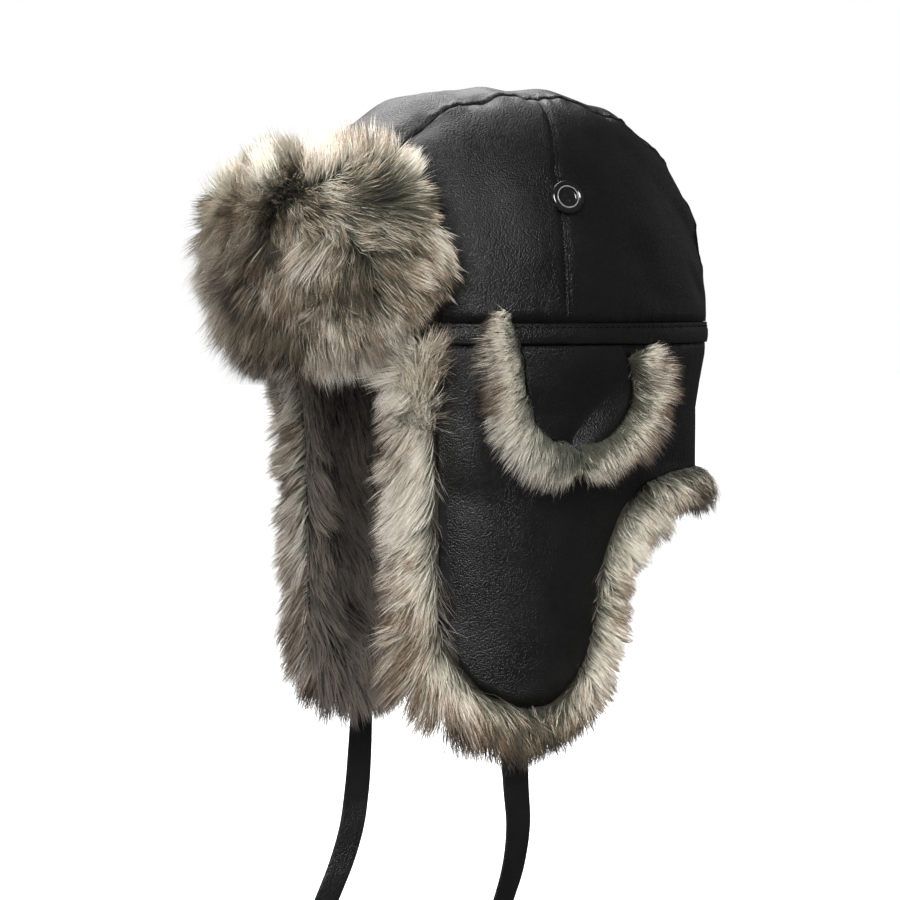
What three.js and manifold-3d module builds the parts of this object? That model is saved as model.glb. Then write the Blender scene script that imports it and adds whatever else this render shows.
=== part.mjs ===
// Fur-trimmed trapper hat, in millimetres. +Z up, the front towards -Y, the wearer's left towards +X.
// The origin is the centre of the head opening, at the height of the band's seam.
import * as THREE from "three";
import { mergeVertices } from "three/addons/utils/BufferGeometryUtils.js";
import Module from "manifold-3d";

const wasm = await Module();
wasm.setup();

// Driving dimensions
const HEAD_X = 95; // half width of the crown at the band
const HEAD_Y = 111; // half length of the crown at the band
const CROWN_TOP = 126; // height of the dome above the band's seam
const LEATHER = 2.2; // wall of the lower flaps and of the small flaps
const CROWN_WALL = 2.6; // leather with its backing
const GAP = 0.3; // clearance between pieces that are sewn together
const BAND_LOW = -2.5;
const BAND_HIGH = 7.7;
const CENTRE_PANEL_HALF = 42; // half width of the panel that runs front to back
const SEAM_GAP = 0.4;
const SEAM_DEPTH = 1.1; // how far the leather sinks along the centre panel's seams
const BUTTON_D = 17;
const STRAP_WIDTH = 13.5;
const STRAP_THICK = 2;
const LINING = 9; // backing of the fur inside the flaps
const FLAP_TOP = BAND_LOW - GAP;
const DRAWN_AT = -36; // height where the lower wall has drawn in under the band
const VISOR_TOP = 84;
const VISOR_PILE = 25; // backing of the visor's fur, without its locks

const rad = THREE.MathUtils.degToRad;
const smooth = (x, lo, hi) => THREE.MathUtils.smoothstep(x, lo, hi);
const random = () => THREE.MathUtils.seededRandom();
const jitter = (size) => (random() - 0.5) * 2 * size;
THREE.MathUtils.seededRandom(11);

// Solids from grids and sweeps

// Merges shared corners, drops faces that have collapsed, and turns the faces outwards.
function closed(positions, faces) {
  let geometry = new THREE.BufferGeometry();
  geometry.setAttribute("position", new THREE.Float32BufferAttribute(positions, 3));
  geometry.setIndex(faces);
  geometry = mergeVertices(geometry, 1e-3);
  const index = geometry.getIndex().array;
  const kept = [];
  for (let i = 0; i < index.length; i += 3) {
    const [a, b, c] = [index[i], index[i + 1], index[i + 2]];
    if (a !== b && b !== c && a !== c) {
      kept.push(a, b, c);
    }
  }
  geometry.setIndex(kept);
  if (volumeOf(geometry) < 0) {
    for (let i = 0; i < kept.length; i += 3) {
      [kept[i], kept[i + 1]] = [kept[i + 1], kept[i]];
    }
    geometry.setIndex(kept);
  }
  return geometry;
}

function volumeOf(geometry) {
  const at = geometry.getAttribute("position");
  const index = geometry.getIndex().array;
  const [a, b, c] = [new THREE.Vector3(), new THREE.Vector3(), new THREE.Vector3()];
  let volume = 0;
  for (let i = 0; i < index.length; i += 3) {
    a.fromBufferAttribute(at, index[i]);
    b.fromBufferAttribute(at, index[i + 1]);
    c.fromBufferAttribute(at, index[i + 2]);
    volume += a.dot(b.clone().cross(c)) / 6;
  }
  return volume;
}

// A wall between two surfaces over one grid of u and v values. A ring closes on itself along u.
function wallSolid(us, vs, outer, inner, ring = false) {
  const positions = [];
  for (const side of [outer, inner]) {
    for (const u of us) {
      for (const v of vs) {
        positions.push(...side(u, v).toArray());
      }
    }
  }
  const rows = vs.length;
  const sheet = us.length * rows;
  const faces = [];
  const quad = (a, b, c, d) => faces.push(a, b, c, a, c, d);
  const columns = ring ? us.length : us.length - 1;
  const at = (i, j) => (i % us.length) * rows + j;
  for (let i = 0; i < columns; i++) {
    for (let j = 0; j < rows - 1; j++) {
      quad(at(i, j), at(i + 1, j), at(i + 1, j + 1), at(i, j + 1));
      quad(sheet + at(i, j), sheet + at(i, j + 1), sheet + at(i + 1, j + 1), sheet + at(i + 1, j));
    }
    for (const [j, flip] of [[0, false], [rows - 1, true]]) {
      const edge = [at(i, j), sheet + at(i, j), sheet + at(i + 1, j), at(i + 1, j)];
      quad(...(flip ? edge.reverse() : edge));
    }
  }
  if (!ring) {
    for (const [i, flip] of [[0, false], [us.length - 1, true]]) {
      for (let j = 0; j < rows - 1; j++) {
        const edge = [at(i, j), at(i, j + 1), sheet + at(i, j + 1), sheet + at(i, j)];
        quad(...(flip ? edge.reverse() : edge));
      }
    }
  }
  return closed(positions, faces);
}

// A soft round roll along a route, with a radius of its own at each point.
function rollSolid(route, radii, steps, sides = 6) {
  const curve = new THREE.CatmullRomCurve3(route);
  const frames = curve.computeFrenetFrames(steps);
  const positions = [];
  for (let i = 0; i <= steps; i++) {
    const at = (i / steps) * (radii.length - 1);
    const low = Math.min(Math.floor(at), radii.length - 2);
    const radius = THREE.MathUtils.lerp(radii[low], radii[low + 1], at - low);
    const centre = curve.getPoint(i / steps);
    for (let j = 0; j < sides; j++) {
      const turn = (2 * Math.PI * j) / sides;
      const corner = centre.clone();
      corner.addScaledVector(frames.normals[i], radius * Math.cos(turn));
      corner.addScaledVector(frames.binormals[i], radius * Math.sin(turn));
      positions.push(...corner.toArray());
    }
  }
  const faces = [];
  for (let i = 0; i < steps; i++) {
    for (let j = 0; j < sides; j++) {
      const [a, b] = [i * sides + j, i * sides + ((j + 1) % sides)];
      faces.push(a, b, b + sides, a, b + sides, a + sides);
    }
  }
  for (let j = 1; j < sides - 1; j++) {
    const end = steps * sides;
    faces.push(0, j + 1, j, end, end + j, end + j + 1);
  }
  return closed(positions, faces);
}

// One tapered lock of fur, three-sided, whose tip hangs a little.
function lockSolid(root, along, flat, length, width, sag) {
  const direction = along.clone().normalize();
  const side = flat.clone().cross(direction).normalize();
  const up = direction.clone().cross(side).normalize();
  const base = root.clone().addScaledVector(direction, -0.15 * length);
  const positions = [];
  for (const [across, above] of [[1, -0.35], [0, 0.65], [-1, -0.35]]) {
    const corner = base.clone();
    corner.addScaledVector(side, across * width * 0.5);
    corner.addScaledVector(up, above * width * 0.5);
    positions.push(...corner.toArray());
  }
  const tip = root.clone().addScaledVector(direction, length);
  tip.z -= sag;
  positions.push(...tip.toArray());
  return closed(positions, [0, 2, 1, 0, 1, 3, 1, 2, 3, 2, 0, 3]);
}

// Joins and cuts

function toManifold(geometry) {
  const mesh = new wasm.Mesh({
    numProp: 3,
    vertProperties: new Float32Array(geometry.getAttribute("position").array),
    triVerts: new Uint32Array(geometry.getIndex().array),
  });
  return new wasm.Manifold(mesh);
}

function toGeometry(solid) {
  const mesh = solid.getMesh();
  const geometry = new THREE.BufferGeometry();
  geometry.setAttribute("position", new THREE.BufferAttribute(mesh.vertProperties, 3));
  geometry.setIndex(new THREE.BufferAttribute(mesh.triVerts, 1));
  return geometry;
}

function fused(geometries) {
  return geometries.map(toManifold).reduce((all, solid) => all.add(solid));
}

function mirrored(geometry) {
  const copy = geometry.clone().scale(-1, 1, 1);
  return closed([...copy.getAttribute("position").array], [...copy.getIndex().array]);
}

// A prism along X from x0 to x1, over an outline of (y, z) corners, as a cutter.
function prismCutter(outline, x0, x1) {
  const shape = new THREE.Shape(outline.map(([y, z]) => new THREE.Vector2(y, z)));
  const prism = new THREE.ExtrudeGeometry(shape, { depth: x1 - x0, bevelEnabled: false });
  prism.applyMatrix4(new THREE.Matrix4().set(0, 0, 1, x0, 1, 0, 0, 0, 0, 1, 0, 0, 0, 0, 0, 1));
  prism.deleteAttribute("normal");
  prism.deleteAttribute("uv");
  return toManifold(mergeVertices(prism));
}

// Where the hat's surfaces are

// The same turn, seen on the left half of the hat.
function onLeft(t) {
  const around = t > 270 ? t - 360 : t;
  return around > 90 ? 180 - around : around;
}

// How far down a height lies between the band and the line where the lower wall has drawn in.
const hangAt = (z) => THREE.MathUtils.clamp((FLAP_TOP - z) / (FLAP_TOP - DRAWN_AT), 0, 1);

// A point at turn t in degrees (0 at the wearer's left, -90 at the front) and height z on the wall that
// hangs from the band. It draws in a little under the band.
function wallPoint(t, z, out = 0) {
  const draw = 1 - 0.06 * hangAt(z);
  const normal = new THREE.Vector3(Math.cos(rad(t)) / HEAD_X, Math.sin(rad(t)) / HEAD_Y, 0).normalize();
  const point = new THREE.Vector3(HEAD_X * draw * Math.cos(rad(t)), HEAD_Y * draw * Math.sin(rad(t)), z);
  return point.addScaledVector(normal, out);
}

function wallNormal(t) {
  return wallPoint(t, 0, 1).sub(wallPoint(t, 0));
}

// The direction along the wall towards a larger turn.
function wallAlong(t) {
  return new THREE.Vector3(-wallNormal(t).y, wallNormal(t).x, 0);
}

// Folds in the crown, each a soft crease from (t0, z0) to (t1, z1), turns in degrees and heights in mm.
const CROWN_FOLDS = [
  { t0: 24, z0: 92, t1: 60, z1: 50, width: 6, depth: 2.2 },
  { t0: 34, z0: 74, t1: 62, z1: 30, width: 7, depth: 2.4 },
  { t0: 40, z0: 36, t1: 56, z1: 12, width: 6, depth: 1.4 },
  { t0: 8, z0: 60, t1: 22, z1: 24, width: 9, depth: 1.2 },
  { t0: -30, z0: 84, t1: -22, z1: 40, width: 9, depth: 1.2 },
];

function creaseDepth(t, z) {
  let depth = 0;
  for (const fold of CROWN_FOLDS) {
    const mmPerDegree = rad(1) * HEAD_Y;
    const run = new THREE.Vector2((fold.t1 - fold.t0) * mmPerDegree, fold.z1 - fold.z0);
    const here = new THREE.Vector2((t - fold.t0) * mmPerDegree, z - fold.z0);
    const part = THREE.MathUtils.clamp(here.dot(run) / run.lengthSq(), 0, 1);
    const away = here.sub(run.multiplyScalar(part)).length();
    depth += fold.depth * Math.exp(-((away / fold.width) ** 2)) * (0.35 + 0.65 * Math.sin(Math.PI * part));
  }
  return depth;
}

// The dome: a rounded box shape in section, fuller at the front, with the panels puffed between seams.
function crownPoint(t, rise, inset = 0) {
  const power = 2.7 - 0.25 * Math.sin(rad(t));
  const low = Math.asin(((BAND_HIGH + GAP) / CROWN_TOP) ** (power / 2));
  const lift = low + (Math.PI / 2 - low) * rise;
  const reach = Math.max(Math.cos(lift), 0) ** (2 / power);
  const z = CROWN_TOP * Math.sin(lift) ** (2 / power);
  const [x, y] = [HEAD_X * reach * Math.cos(rad(t)), HEAD_Y * reach * Math.sin(rad(t))];
  const slope = reach ** (power - 2);
  const normal = new THREE.Vector3(
    (x / HEAD_X ** 2) * slope,
    (y / HEAD_Y ** 2) * slope,
    (z / CROWN_TOP) ** (power - 1) / CROWN_TOP,
  ).normalize();
  const seam = Math.exp(-(((Math.abs(x) - CENTRE_PANEL_HALF) / 4) ** 2)) * smooth(z, 20, 60);
  const crease = Math.abs(x) > 30 ? creaseDepth(onLeft(t), z) * smooth(rise, 0.02, 0.2) : 0;
  return new THREE.Vector3(x, y, z).addScaledVector(normal, -inset - SEAM_DEPTH * seam - crease);
}

function crownHeightPoint(t, z) {
  let [low, high] = [0, 1];
  for (let i = 0; i < 24; i++) {
    const middle = (low + high) / 2;
    if (crownPoint(t, middle).z < z) {
      low = middle;
    } else {
      high = middle;
    }
  }
  return crownPoint(t, low);
}

// The turns of the sides that the crown and the band are faceted into.
const RING_SIDES = 42;
const RING_TURNS = Array.from({ length: RING_SIDES }, (_, i) => (i * 360) / RING_SIDES);

// The crown, cut into its panels

function crownPanels() {
  const rises = [0, 0.1, 0.22, 0.36, 0.5, 0.65, 0.8, 1];
  const inner = (t, rise) => crownPoint(t, rise, CROWN_WALL);
  const shell = toManifold(wallSolid(RING_TURNS, rises, crownPoint, inner, true));
  const far = 200;
  const half = SEAM_GAP / 2;
  const edge = CENTRE_PANEL_HALF;
  // The side seam rises straight from the band and bends back where it meets the centre panel.
  const seam = [
    [-12, -far],
    [-12, 82],
    [-2, 117],
    [-2, far],
  ];
  const front = [[-far, -far], ...seam.map(([y, z]) => [y - half, z]), [-far, far]];
  const back = [[far, -far], ...seam.map(([y, z]) => [y + half, z]), [far, far]];
  const whole = [[-far, -far], [far, -far], [far, far], [-far, far]];
  const cut = (outline, x0, x1) => shell.intersect(prismCutter(outline, x0, x1));
  return {
    crown_centre_panel: cut(whole, -edge + half, edge - half),
    crown_front_panel_left: cut(front, edge + half, far),
    crown_back_panel_left: cut(back, edge + half, far),
    crown_front_panel_right: cut(front, -far, -edge - half),
    crown_back_panel_right: cut(back, -far, -edge - half),
  };
}

// The band, a rounded strip all the way round

function hatBand() {
  const levels = [0, 0.5, 1];
  const height = BAND_HIGH - BAND_LOW;
  const bulge = (level) => 1.6 * Math.sin(Math.PI * level) - 0.6;
  return wallSolid(
    RING_TURNS,
    levels,
    (t, level) => wallPoint(t, BAND_LOW + height * level, bulge(level)),
    (t, level) => wallPoint(t, BAND_LOW + height * level, -CROWN_WALL),
    true,
  );
}

// Ear flaps and neck guard

const FLAP_FRONT = -42; // turn of the ear flap's front edge
// The lower edge of the leather from the front edge of the left flap to the middle of the neck.
const FLAP_EDGE = [
  { t: FLAP_FRONT, z: -138 },
  { t: -37, z: -155 },
  { t: -29, z: -171 },
  { t: -19, z: -178.5 },
  { t: -10.5, z: -177.5 },
  { t: -4, z: -167 },
  { t: 0.8, z: -151 },
  { t: 3.6, z: -126 },
  { t: 7, z: -102 },
  { t: 12, z: -84 },
  { t: 21, z: -72 },
  { t: 34, z: -67 },
  { t: 52, z: -66 },
  { t: 70, z: -67 },
  { t: 90, z: -68 },
];

function flapBottom(t) {
  const turn = onLeft(t);
  const next = Math.max(1, FLAP_EDGE.findIndex((row) => row.t >= turn));
  const [a, b] = [FLAP_EDGE[next - 1], FLAP_EDGE[next]];
  return THREE.MathUtils.lerp(a.z, b.z, THREE.MathUtils.clamp((turn - a.t) / (b.t - a.t), 0, 1));
}

// Long shallow waves, as soft leather hangs.
function flapWave(t, z) {
  const turn = onLeft(t);
  const neck = smooth(turn, 20, 50);
  return hangAt(z) * (neck * 1.5 * Math.sin(rad(turn * 8)) + (1 - neck) * 0.8 * Math.sin(z / 30 + turn / 12));
}

// The wall's height at a row: 0 at its top, 1 where it has drawn in, 4 at the leather's lower edge, and
// past it for what hangs lower.
function flapHeight(t, row, top) {
  if (row <= 1) {
    return THREE.MathUtils.lerp(top, DRAWN_AT, row);
  }
  if (row > 4) {
    const reach = 3.2; // degrees either side, so that what hangs lower also stands out past a steep edge
    return Math.min(flapBottom(t - reach), flapBottom(t), flapBottom(t + reach)) - 5;
  }
  return THREE.MathUtils.lerp(DRAWN_AT, flapBottom(t), (row - 1) / 3);
}

function flapPoint(t, row, out, top = FLAP_TOP) {
  const z = flapHeight(t, row, top);
  return wallPoint(t, z, out + flapWave(t, z));
}

function earFlapLeather() {
  const left = FLAP_EDGE.map((row) => row.t);
  const turns = [...left, ...left.slice(0, -1).reverse().map((t) => 180 - t)];
  return wallSolid(
    turns,
    [0, 1, 2, 3, 4],
    (t, row) => flapPoint(t, row, 0),
    (t, row) => flapPoint(t, row, -LEATHER),
  );
}

// Fur

// A table of rows of locks. A row runs from turn t0 and height z0 to t1 and z1 and holds count locks. They
// point along the wall, outwards and up, as parts of one direction, and start at a depth on the wall.
const LOCK_COLUMNS = "t0 t1 z0 z1 count along out up on length width sag".split(" ");

function lockTable(rows) {
  return rows.map((row) => Object.fromEntries(row.map((value, i) => [LOCK_COLUMNS[i], value])));
}

function locksOn(pointAt, rows, scatter = 1.5) {
  const locks = [];
  for (const row of rows) {
    for (let i = 0; i < row.count; i++) {
      const part = row.count > 1 ? i / (row.count - 1) : 0.5;
      const t = THREE.MathUtils.lerp(row.t0, row.t1, part) + jitter(0.8);
      const z = THREE.MathUtils.lerp(row.z0, row.z1, part) + jitter(scatter);
      const normal = wallNormal(t);
      const direction = normal.clone().multiplyScalar(row.out + jitter(0.15));
      direction.addScaledVector(wallAlong(t), row.along + jitter(0.2));
      direction.z += row.up + jitter(0.12);
      const length = row.length * (1 + jitter(0.12));
      locks.push(lockSolid(pointAt(t, z, row.on), direction, normal, length, row.width, row.sag));
    }
  }
  return locks;
}

const LINING_FRONT = -47.5; // turn of the middle of the roll along the flap's front edge
const FLAP_SPLIT = 20; // turn where the flap's fur meets the neck guard's fur
const ROLL = 6.4; // radius of the soft roll along an edge

// The middle of the roll round the left flap, from the top of its front edge to the neck guard.
const FLAP_ROLL = [
  { t: LINING_FRONT, z: -8 },
  { t: LINING_FRONT, z: -40 },
  { t: LINING_FRONT, z: -80 },
  { t: LINING_FRONT, z: -118 },
  { t: -46.8, z: -147 },
  { t: -39.5, z: -168 },
  { t: -29, z: -181 },
  { t: -16, z: -186.5 },
  { t: -5, z: -182 },
  { t: 3, z: -166 },
  { t: 6.8, z: -142 },
  { t: 9, z: -120 },
  { t: 12.5, z: -101 },
  { t: FLAP_SPLIT - 2, z: -87 },
];

const FLAP_LOCKS = lockTable([
  [-49, -50, -16, -136, 8, -1, 0.1, -0.4, 0, 24, 18, 5],
  [-47, -47, -24, -126, 5, -0.75, 0.6, -0.5, 3, 16, 19, 4],
  [-48, -30, -152, -181, 3, -0.45, 0.15, -1, 0, 19, 16, 3],
  [-24, -4, -187, -184, 3, 0, 0.1, -1, 0, 17, 16, 2],
  [1.5, 12.5, -173, -111, 5, 0.9, 0.25, -0.6, 0, 19, 17, 5],
  [14, 14, -99, -99, 1, 0.2, 0.2, -1, 0, 17, 17, 3],
]);
const LINING_LOCKS = lockTable([
  [-43, -39, -34, -140, 3, 0.1, -0.45, -1, -12.5, 26, 22, 2],
  [-24, -20, -30, -150, 3, 0, -0.45, -1, -12.5, 26, 22, 2],
  [-4, -6, -34, -142, 3, 0, -0.45, -1, -12.5, 26, 22, 2],
  [10, 8, -28, -70, 2, 0, -0.45, -1, -12.5, 24, 20, 2],
]);

const LINING_TOP = -6;

// The backing of the fur inside the wall, thinner at its top and bottom.
function liningSolid(turns) {
  const face = -LEATHER - 2 * GAP;
  const thick = [0.7, 1, 1, 1, 0.8, 0.6];
  return wallSolid(
    turns,
    [0, 1, 2, 3, 4, 5],
    (t, row) => flapPoint(t, row, face, LINING_TOP),
    (t, row) => flapPoint(t, row, face - LINING * thick[row], LINING_TOP),
  );
}

function flapFurLeft(strap) {
  const covered = FLAP_EDGE.map((row) => row.t).filter((t) => t < FLAP_SPLIT);
  const lining = liningSolid([LINING_FRONT + 0.5, ...covered, FLAP_SPLIT]);
  const route = FLAP_ROLL.map((row) => wallPoint(row.t, row.z, -1 + flapWave(row.t, row.z)));
  const roll = rollSolid(route, [ROLL, ROLL], 18, 5);
  const locks = [...locksOn(wallPoint, FLAP_LOCKS), ...locksOn(wallPoint, LINING_LOCKS)];
  return fused([lining, roll, ...locks]).subtract(strap);
}

const NECK_LOCKS = lockTable([
  [28, 152, -80, -80, 11, 0, 0.3, -1, 0, 17, 20, 3],
]);
const NECK_LINING_LOCKS = lockTable([
  [34, 146, -40, -40, 7, 0, -0.4, -1, -12.5, 26, 24, 2],
]);

function neckGuardFur() {
  const half = FLAP_EDGE.map((row) => row.t).filter((t) => t > FLAP_SPLIT && t < 90);
  const leftHalf = [FLAP_SPLIT + 1, ...half];
  const rightHalf = [...leftHalf].reverse().map((t) => 180 - t);
  const lining = liningSolid([...leftHalf, 90, ...rightHalf]);
  const rollFrom = FLAP_SPLIT + 3.5;
  const rollTurns = Array.from({ length: 15 }, (_, i) => rollFrom + (i * (180 - 2 * rollFrom)) / 14);
  const route = rollTurns.map((t) => {
    const z = flapBottom(t) - ROLL - 1;
    return wallPoint(t, z, -1 + flapWave(t, z));
  });
  const roll = rollSolid(route, [ROLL, ROLL], 16, 5);
  return fused([lining, roll, ...locksOn(wallPoint, NECK_LOCKS), ...locksOn(wallPoint, NECK_LINING_LOCKS)]);
}

// Visor

// The visor is sewn to the band and stands up round the front of the crown, leaning out a little.
function visorPoint(t, z, out = 0) {
  const lean = 1.4 + 0.025 * z;
  return wallPoint(t, 0, out + lean).setZ(z);
}

const VISOR_TURNS = [-45, -52, -60, -70, -80, -90, -100, -110, -120, -128, -135];
const VISOR_FUR_TURNS = [-39, ...VISOR_TURNS, -141];
const VISOR_HALF = 51; // half of the turn that the visor's fur covers

function visorLeather() {
  const top = (t) => VISOR_TOP - 16 * smooth(Math.abs(t + 90), 30, 46);
  const bottom = (t) => -1 + 22 * smooth(Math.abs(t + 90), 32, 46);
  const levels = [0, 0.25, 0.5, 0.75, 1];
  const point = (t, level, out) => visorPoint(t, THREE.MathUtils.lerp(bottom(t), top(t), level), out);
  return wallSolid(
    VISOR_TURNS,
    levels,
    (t, level) => point(t, level, LEATHER),
    (t, level) => point(t, level, 0),
  );
}

// A point in the visor's pile: level runs from its lower to its upper edge and depth from the leather, 0,
// to the front of the backing, 1. The block is squarish from above, so it is deepest near its corners.
function pilePoint(t, level, depth) {
  const away = Math.abs(t + 90);
  const end = smooth(away, 30, VISOR_HALF);
  const z = THREE.MathUtils.lerp(-6 + 32 * end, VISOR_TOP + 3 - 14 * end, level);
  const full = VISOR_PILE + 11 * Math.exp(-(((away - 37) / 14) ** 2));
  const across = Math.max(1 - Math.abs(2 * level - 1) ** 5, 0) ** 0.5;
  const along = Math.max(1 - (away / VISOR_HALF) ** 8, 0) ** 0.5;
  const thick = 3 + (full - 3) * across * along;
  return visorPoint(t, z, LEATHER + GAP + thick * depth);
}

// Here z0 and z1 are levels of the pile, and on is a depth in it.
const VISOR_LOCKS = lockTable([
  [-50, -130, 0.96, 0.96, 9, 0, 0.45, 1, 0.6, 19, 22, 3],
  [-52, -128, 0.72, 0.72, 7, 0, 1, -0.1, 0.9, 15, 26, 6],
  [-48, -132, 0.44, 0.44, 8, 0, 1, -0.6, 0.9, 18, 26, 6],
  [-53, -127, 0.18, 0.18, 7, 0, 0.8, -1, 0.8, 18, 24, 4],
  [-56, -124, 0.05, 0.05, 7, 0, 0.1, -1, 0.5, 15, 20, 2],
]);
const VISOR_END_LOCKS = lockTable([
  [-42, -41, 0.8, 0.2, 3, 1, 0.5, 0.1, 0.5, 16, 19, 5],
]);

function visorFur() {
  const levels = [0, 0.12, 0.36, 0.64, 0.88, 1];
  const backing = wallSolid(
    VISOR_FUR_TURNS,
    levels,
    (t, level) => pilePoint(t, level, 1),
    (t, level) => pilePoint(t, level, 0),
  );
  const left = locksOn(pilePoint, VISOR_END_LOCKS, 0.02);
  return fused([backing, ...locksOn(pilePoint, VISOR_LOCKS, 0.02), ...left, ...left.map(mirrored)]);
}

// Side flaps on the band

// The leather's two edges at each height, as turns, and how far it stands off the ear flap's leather.
const SIDE_FLAP = [
  { z: -3.2, front: -20, back: 7, out: 1 },
  { z: -8, front: -18.8, back: 9, out: 2.8 },
  { z: -16, front: -18.5, back: 10.3, out: 4.2 },
  { z: -24, front: -18.2, back: 10.4, out: 5 },
  { z: -33, front: -17.2, back: 9.2, out: 5 },
  { z: -41, front: -15.3, back: 6.6, out: 5 },
  { z: -48, front: -12, back: 2.8, out: 4.8 },
  { z: -53, front: -8.4, back: -2, out: 4.6 },
];

function sideFlapAt(z) {
  const next = Math.max(1, SIDE_FLAP.findIndex((row) => row.z <= z));
  const [a, b] = [SIDE_FLAP[next - 1], SIDE_FLAP[next]];
  const part = THREE.MathUtils.clamp((z - a.z) / (b.z - a.z), 0, 1);
  const mix = (key) => THREE.MathUtils.lerp(a[key], b[key], part);
  return { front: mix("front"), back: mix("back"), out: mix("out") };
}

function sideFlapPoint(part, z, out) {
  const row = sideFlapAt(z);
  const t = THREE.MathUtils.lerp(row.front, row.back, part);
  return wallPoint(t, z, row.out + out + flapWave(t, z));
}

function sideFlapLeather() {
  const across = [0, 0.33, 0.67, 1];
  const heights = SIDE_FLAP.map((row) => row.z);
  return wallSolid(
    across,
    heights,
    (part, z) => sideFlapPoint(part, z, LEATHER),
    (part, z) => sideFlapPoint(part, z, 0),
  );
}

// The middle of the roll round the U, from the band at the front to the band at the back.
const SIDE_ROLL = [
  { t: -26, z: 6, out: 5.2 },
  { t: -24.5, z: -10, out: 6.9 },
  { t: -23.2, z: -28, out: 7.6 },
  { t: -20.5, z: -44, out: 7.6 },
  { t: -14, z: -57, out: 7.6 },
  { t: -5, z: -61.5, out: 7.6 },
  { t: 4, z: -58, out: 7.6 },
  { t: 11, z: -48, out: 7.6 },
  { t: 15.6, z: -32, out: 7.6 },
  { t: 15.6, z: -16, out: 7.2 },
  { t: 12.6, z: -6, out: 5.8 },
];
const SIDE_LOCKS = lockTable([
  [-26.5, -25, 2, -16, 2, -1, 0.3, -0.15, 5.5, 12, 13, 2],
  [-25, -21.5, -30, -46, 2, -1, 0.2, -0.4, 7, 12, 13, 2],
  [-16, 6, -59, -58, 4, 0, 0.2, -1, 7, 13, 13, 1],
  [12.5, 17, -48, -32, 2, 1, 0.2, -0.5, 7, 14, 13, 2],
  [16.5, 14, -18, -7, 2, 1, 0.2, -0.2, 6.5, 14, 12, 2],
]);

function sideFlapFur() {
  const across = [-0.2, 0, 0.33, 0.67, 1, 1.2];
  const heights = SIDE_FLAP.map((row) => row.z).slice(1);
  const lift = 1;
  const backing = wallSolid(
    across,
    heights,
    (part, z) => sideFlapPoint(part, z, -GAP),
    (part, z) => {
      const row = sideFlapAt(z);
      return sideFlapPoint(part, z, lift - row.out);
    },
  );
  const route = SIDE_ROLL.map((row) => wallPoint(row.t, row.z, row.out + flapWave(row.t, row.z)));
  const thick = SIDE_ROLL.map((row) => Math.min(5.2, row.out - 1.6));
  const roll = rollSolid(route, thick, 14, 5);
  return fused([backing, roll, ...locksOn(wallPoint, SIDE_LOCKS)]);
}

// Buttons

function crownButton() {
  const r = BUTTON_D / 2;
  const profile = [
    [0, 0],
    [r * 0.86, 0],
    [r, 1.2],
    [r * 0.97, 2.6],
    [r * 0.82, 3.4],
    [r * 0.66, 2.9],
    [r * 0.58, 1.9],
    [0, 1.7],
  ];
  const points = profile.map(([radius, height]) => new THREE.Vector2(radius, height));
  const lathe = new THREE.LatheGeometry(points, 18);
  return closed([...lathe.getAttribute("position").array], [...lathe.getIndex().array]);
}

const BUTTON_AT = { t: -5.8, z: 68 };
const BUTTON_SINK = -0.35; // the flat facets of the panels lie a little inside the round dome

function placedButton() {
  const here = crownHeightPoint(BUTTON_AT.t, BUTTON_AT.z);
  const across = crownHeightPoint(BUTTON_AT.t + 3, BUTTON_AT.z).sub(here);
  const up = crownHeightPoint(BUTTON_AT.t, BUTTON_AT.z + 3).sub(here);
  const normal = across.cross(up).normalize();
  const seat = here.addScaledVector(normal, BUTTON_SINK);
  const turn = new THREE.Quaternion().setFromUnitVectors(new THREE.Vector3(0, 1, 0), normal);
  const geometry = crownButton().applyQuaternion(turn);
  return geometry.translate(...seat.toArray());
}

// Tie straps

// The middle of each strap from the ear flap's lower edge down: x, y and z in mm, and how far the strap
// is turned about its length in degrees, 0 when its broad side faces straight out.
const LEFT_STRAP = [
  { x: 82.4, y: -35, z: -178.9, turn: -18 },
  { x: 82.4, y: -36, z: -196, turn: -13 },
  { x: 82.6, y: -35, z: -216, turn: -5 },
  { x: 83, y: -34, z: -236, turn: 2 },
  { x: 82.4, y: -36.5, z: -256, turn: 8 },
  { x: 80.6, y: -42, z: -276, turn: 12 },
  { x: 79, y: -47.5, z: -296, turn: 10 },
  { x: 78, y: -50.5, z: -315, turn: 6 },
];
const RIGHT_STRAP = [
  { x: -82.4, y: -36.5, z: -178.9, turn: 18 },
  { x: -82.6, y: -37, z: -200, turn: 8 },
  { x: -82.8, y: -38, z: -222, turn: -4 },
  { x: -82.6, y: -40, z: -244, turn: -14 },
  { x: -82.4, y: -43, z: -262, turn: -20 },
  { x: -82.8, y: -48.5, z: -280, turn: -22 },
  { x: -83.8, y: -56, z: -298, turn: -18 },
  { x: -85.4, y: -63.5, z: -315, turn: -12 },
];

function strapSolid(rows, grow = 0) {
  const route = new THREE.CatmullRomCurve3(rows.map((row) => new THREE.Vector3(row.x, row.y, row.z)));
  const steps = Array.from({ length: 17 }, (_, i) => i / 16);
  const lift = grow > 0 ? [grow, 0] : [0, 0];
  const at = (along, across, side) => {
    const place = along * (rows.length - 1);
    const low = Math.min(Math.floor(place), rows.length - 2);
    const turn = rad(THREE.MathUtils.lerp(rows[low].turn, rows[low + 1].turn, place - low));
    const centre = route.getPoint(along);
    const width = new THREE.Vector3(-Math.sin(turn), Math.cos(turn), 0);
    const out = new THREE.Vector3(Math.cos(turn), Math.sin(turn), 0);
    centre.addScaledVector(width, across * (STRAP_WIDTH / 2 + lift[0]));
    centre.addScaledVector(out, side * (STRAP_THICK / 2 + lift[0]));
    centre.z += along === 0 ? lift[0] : 0;
    return centre;
  };
  return wallSolid(
    steps,
    [-1, 1],
    (along, across) => at(along, across, 1),
    (along, across) => at(along, across, -1),
  );
}

// Materials

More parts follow.
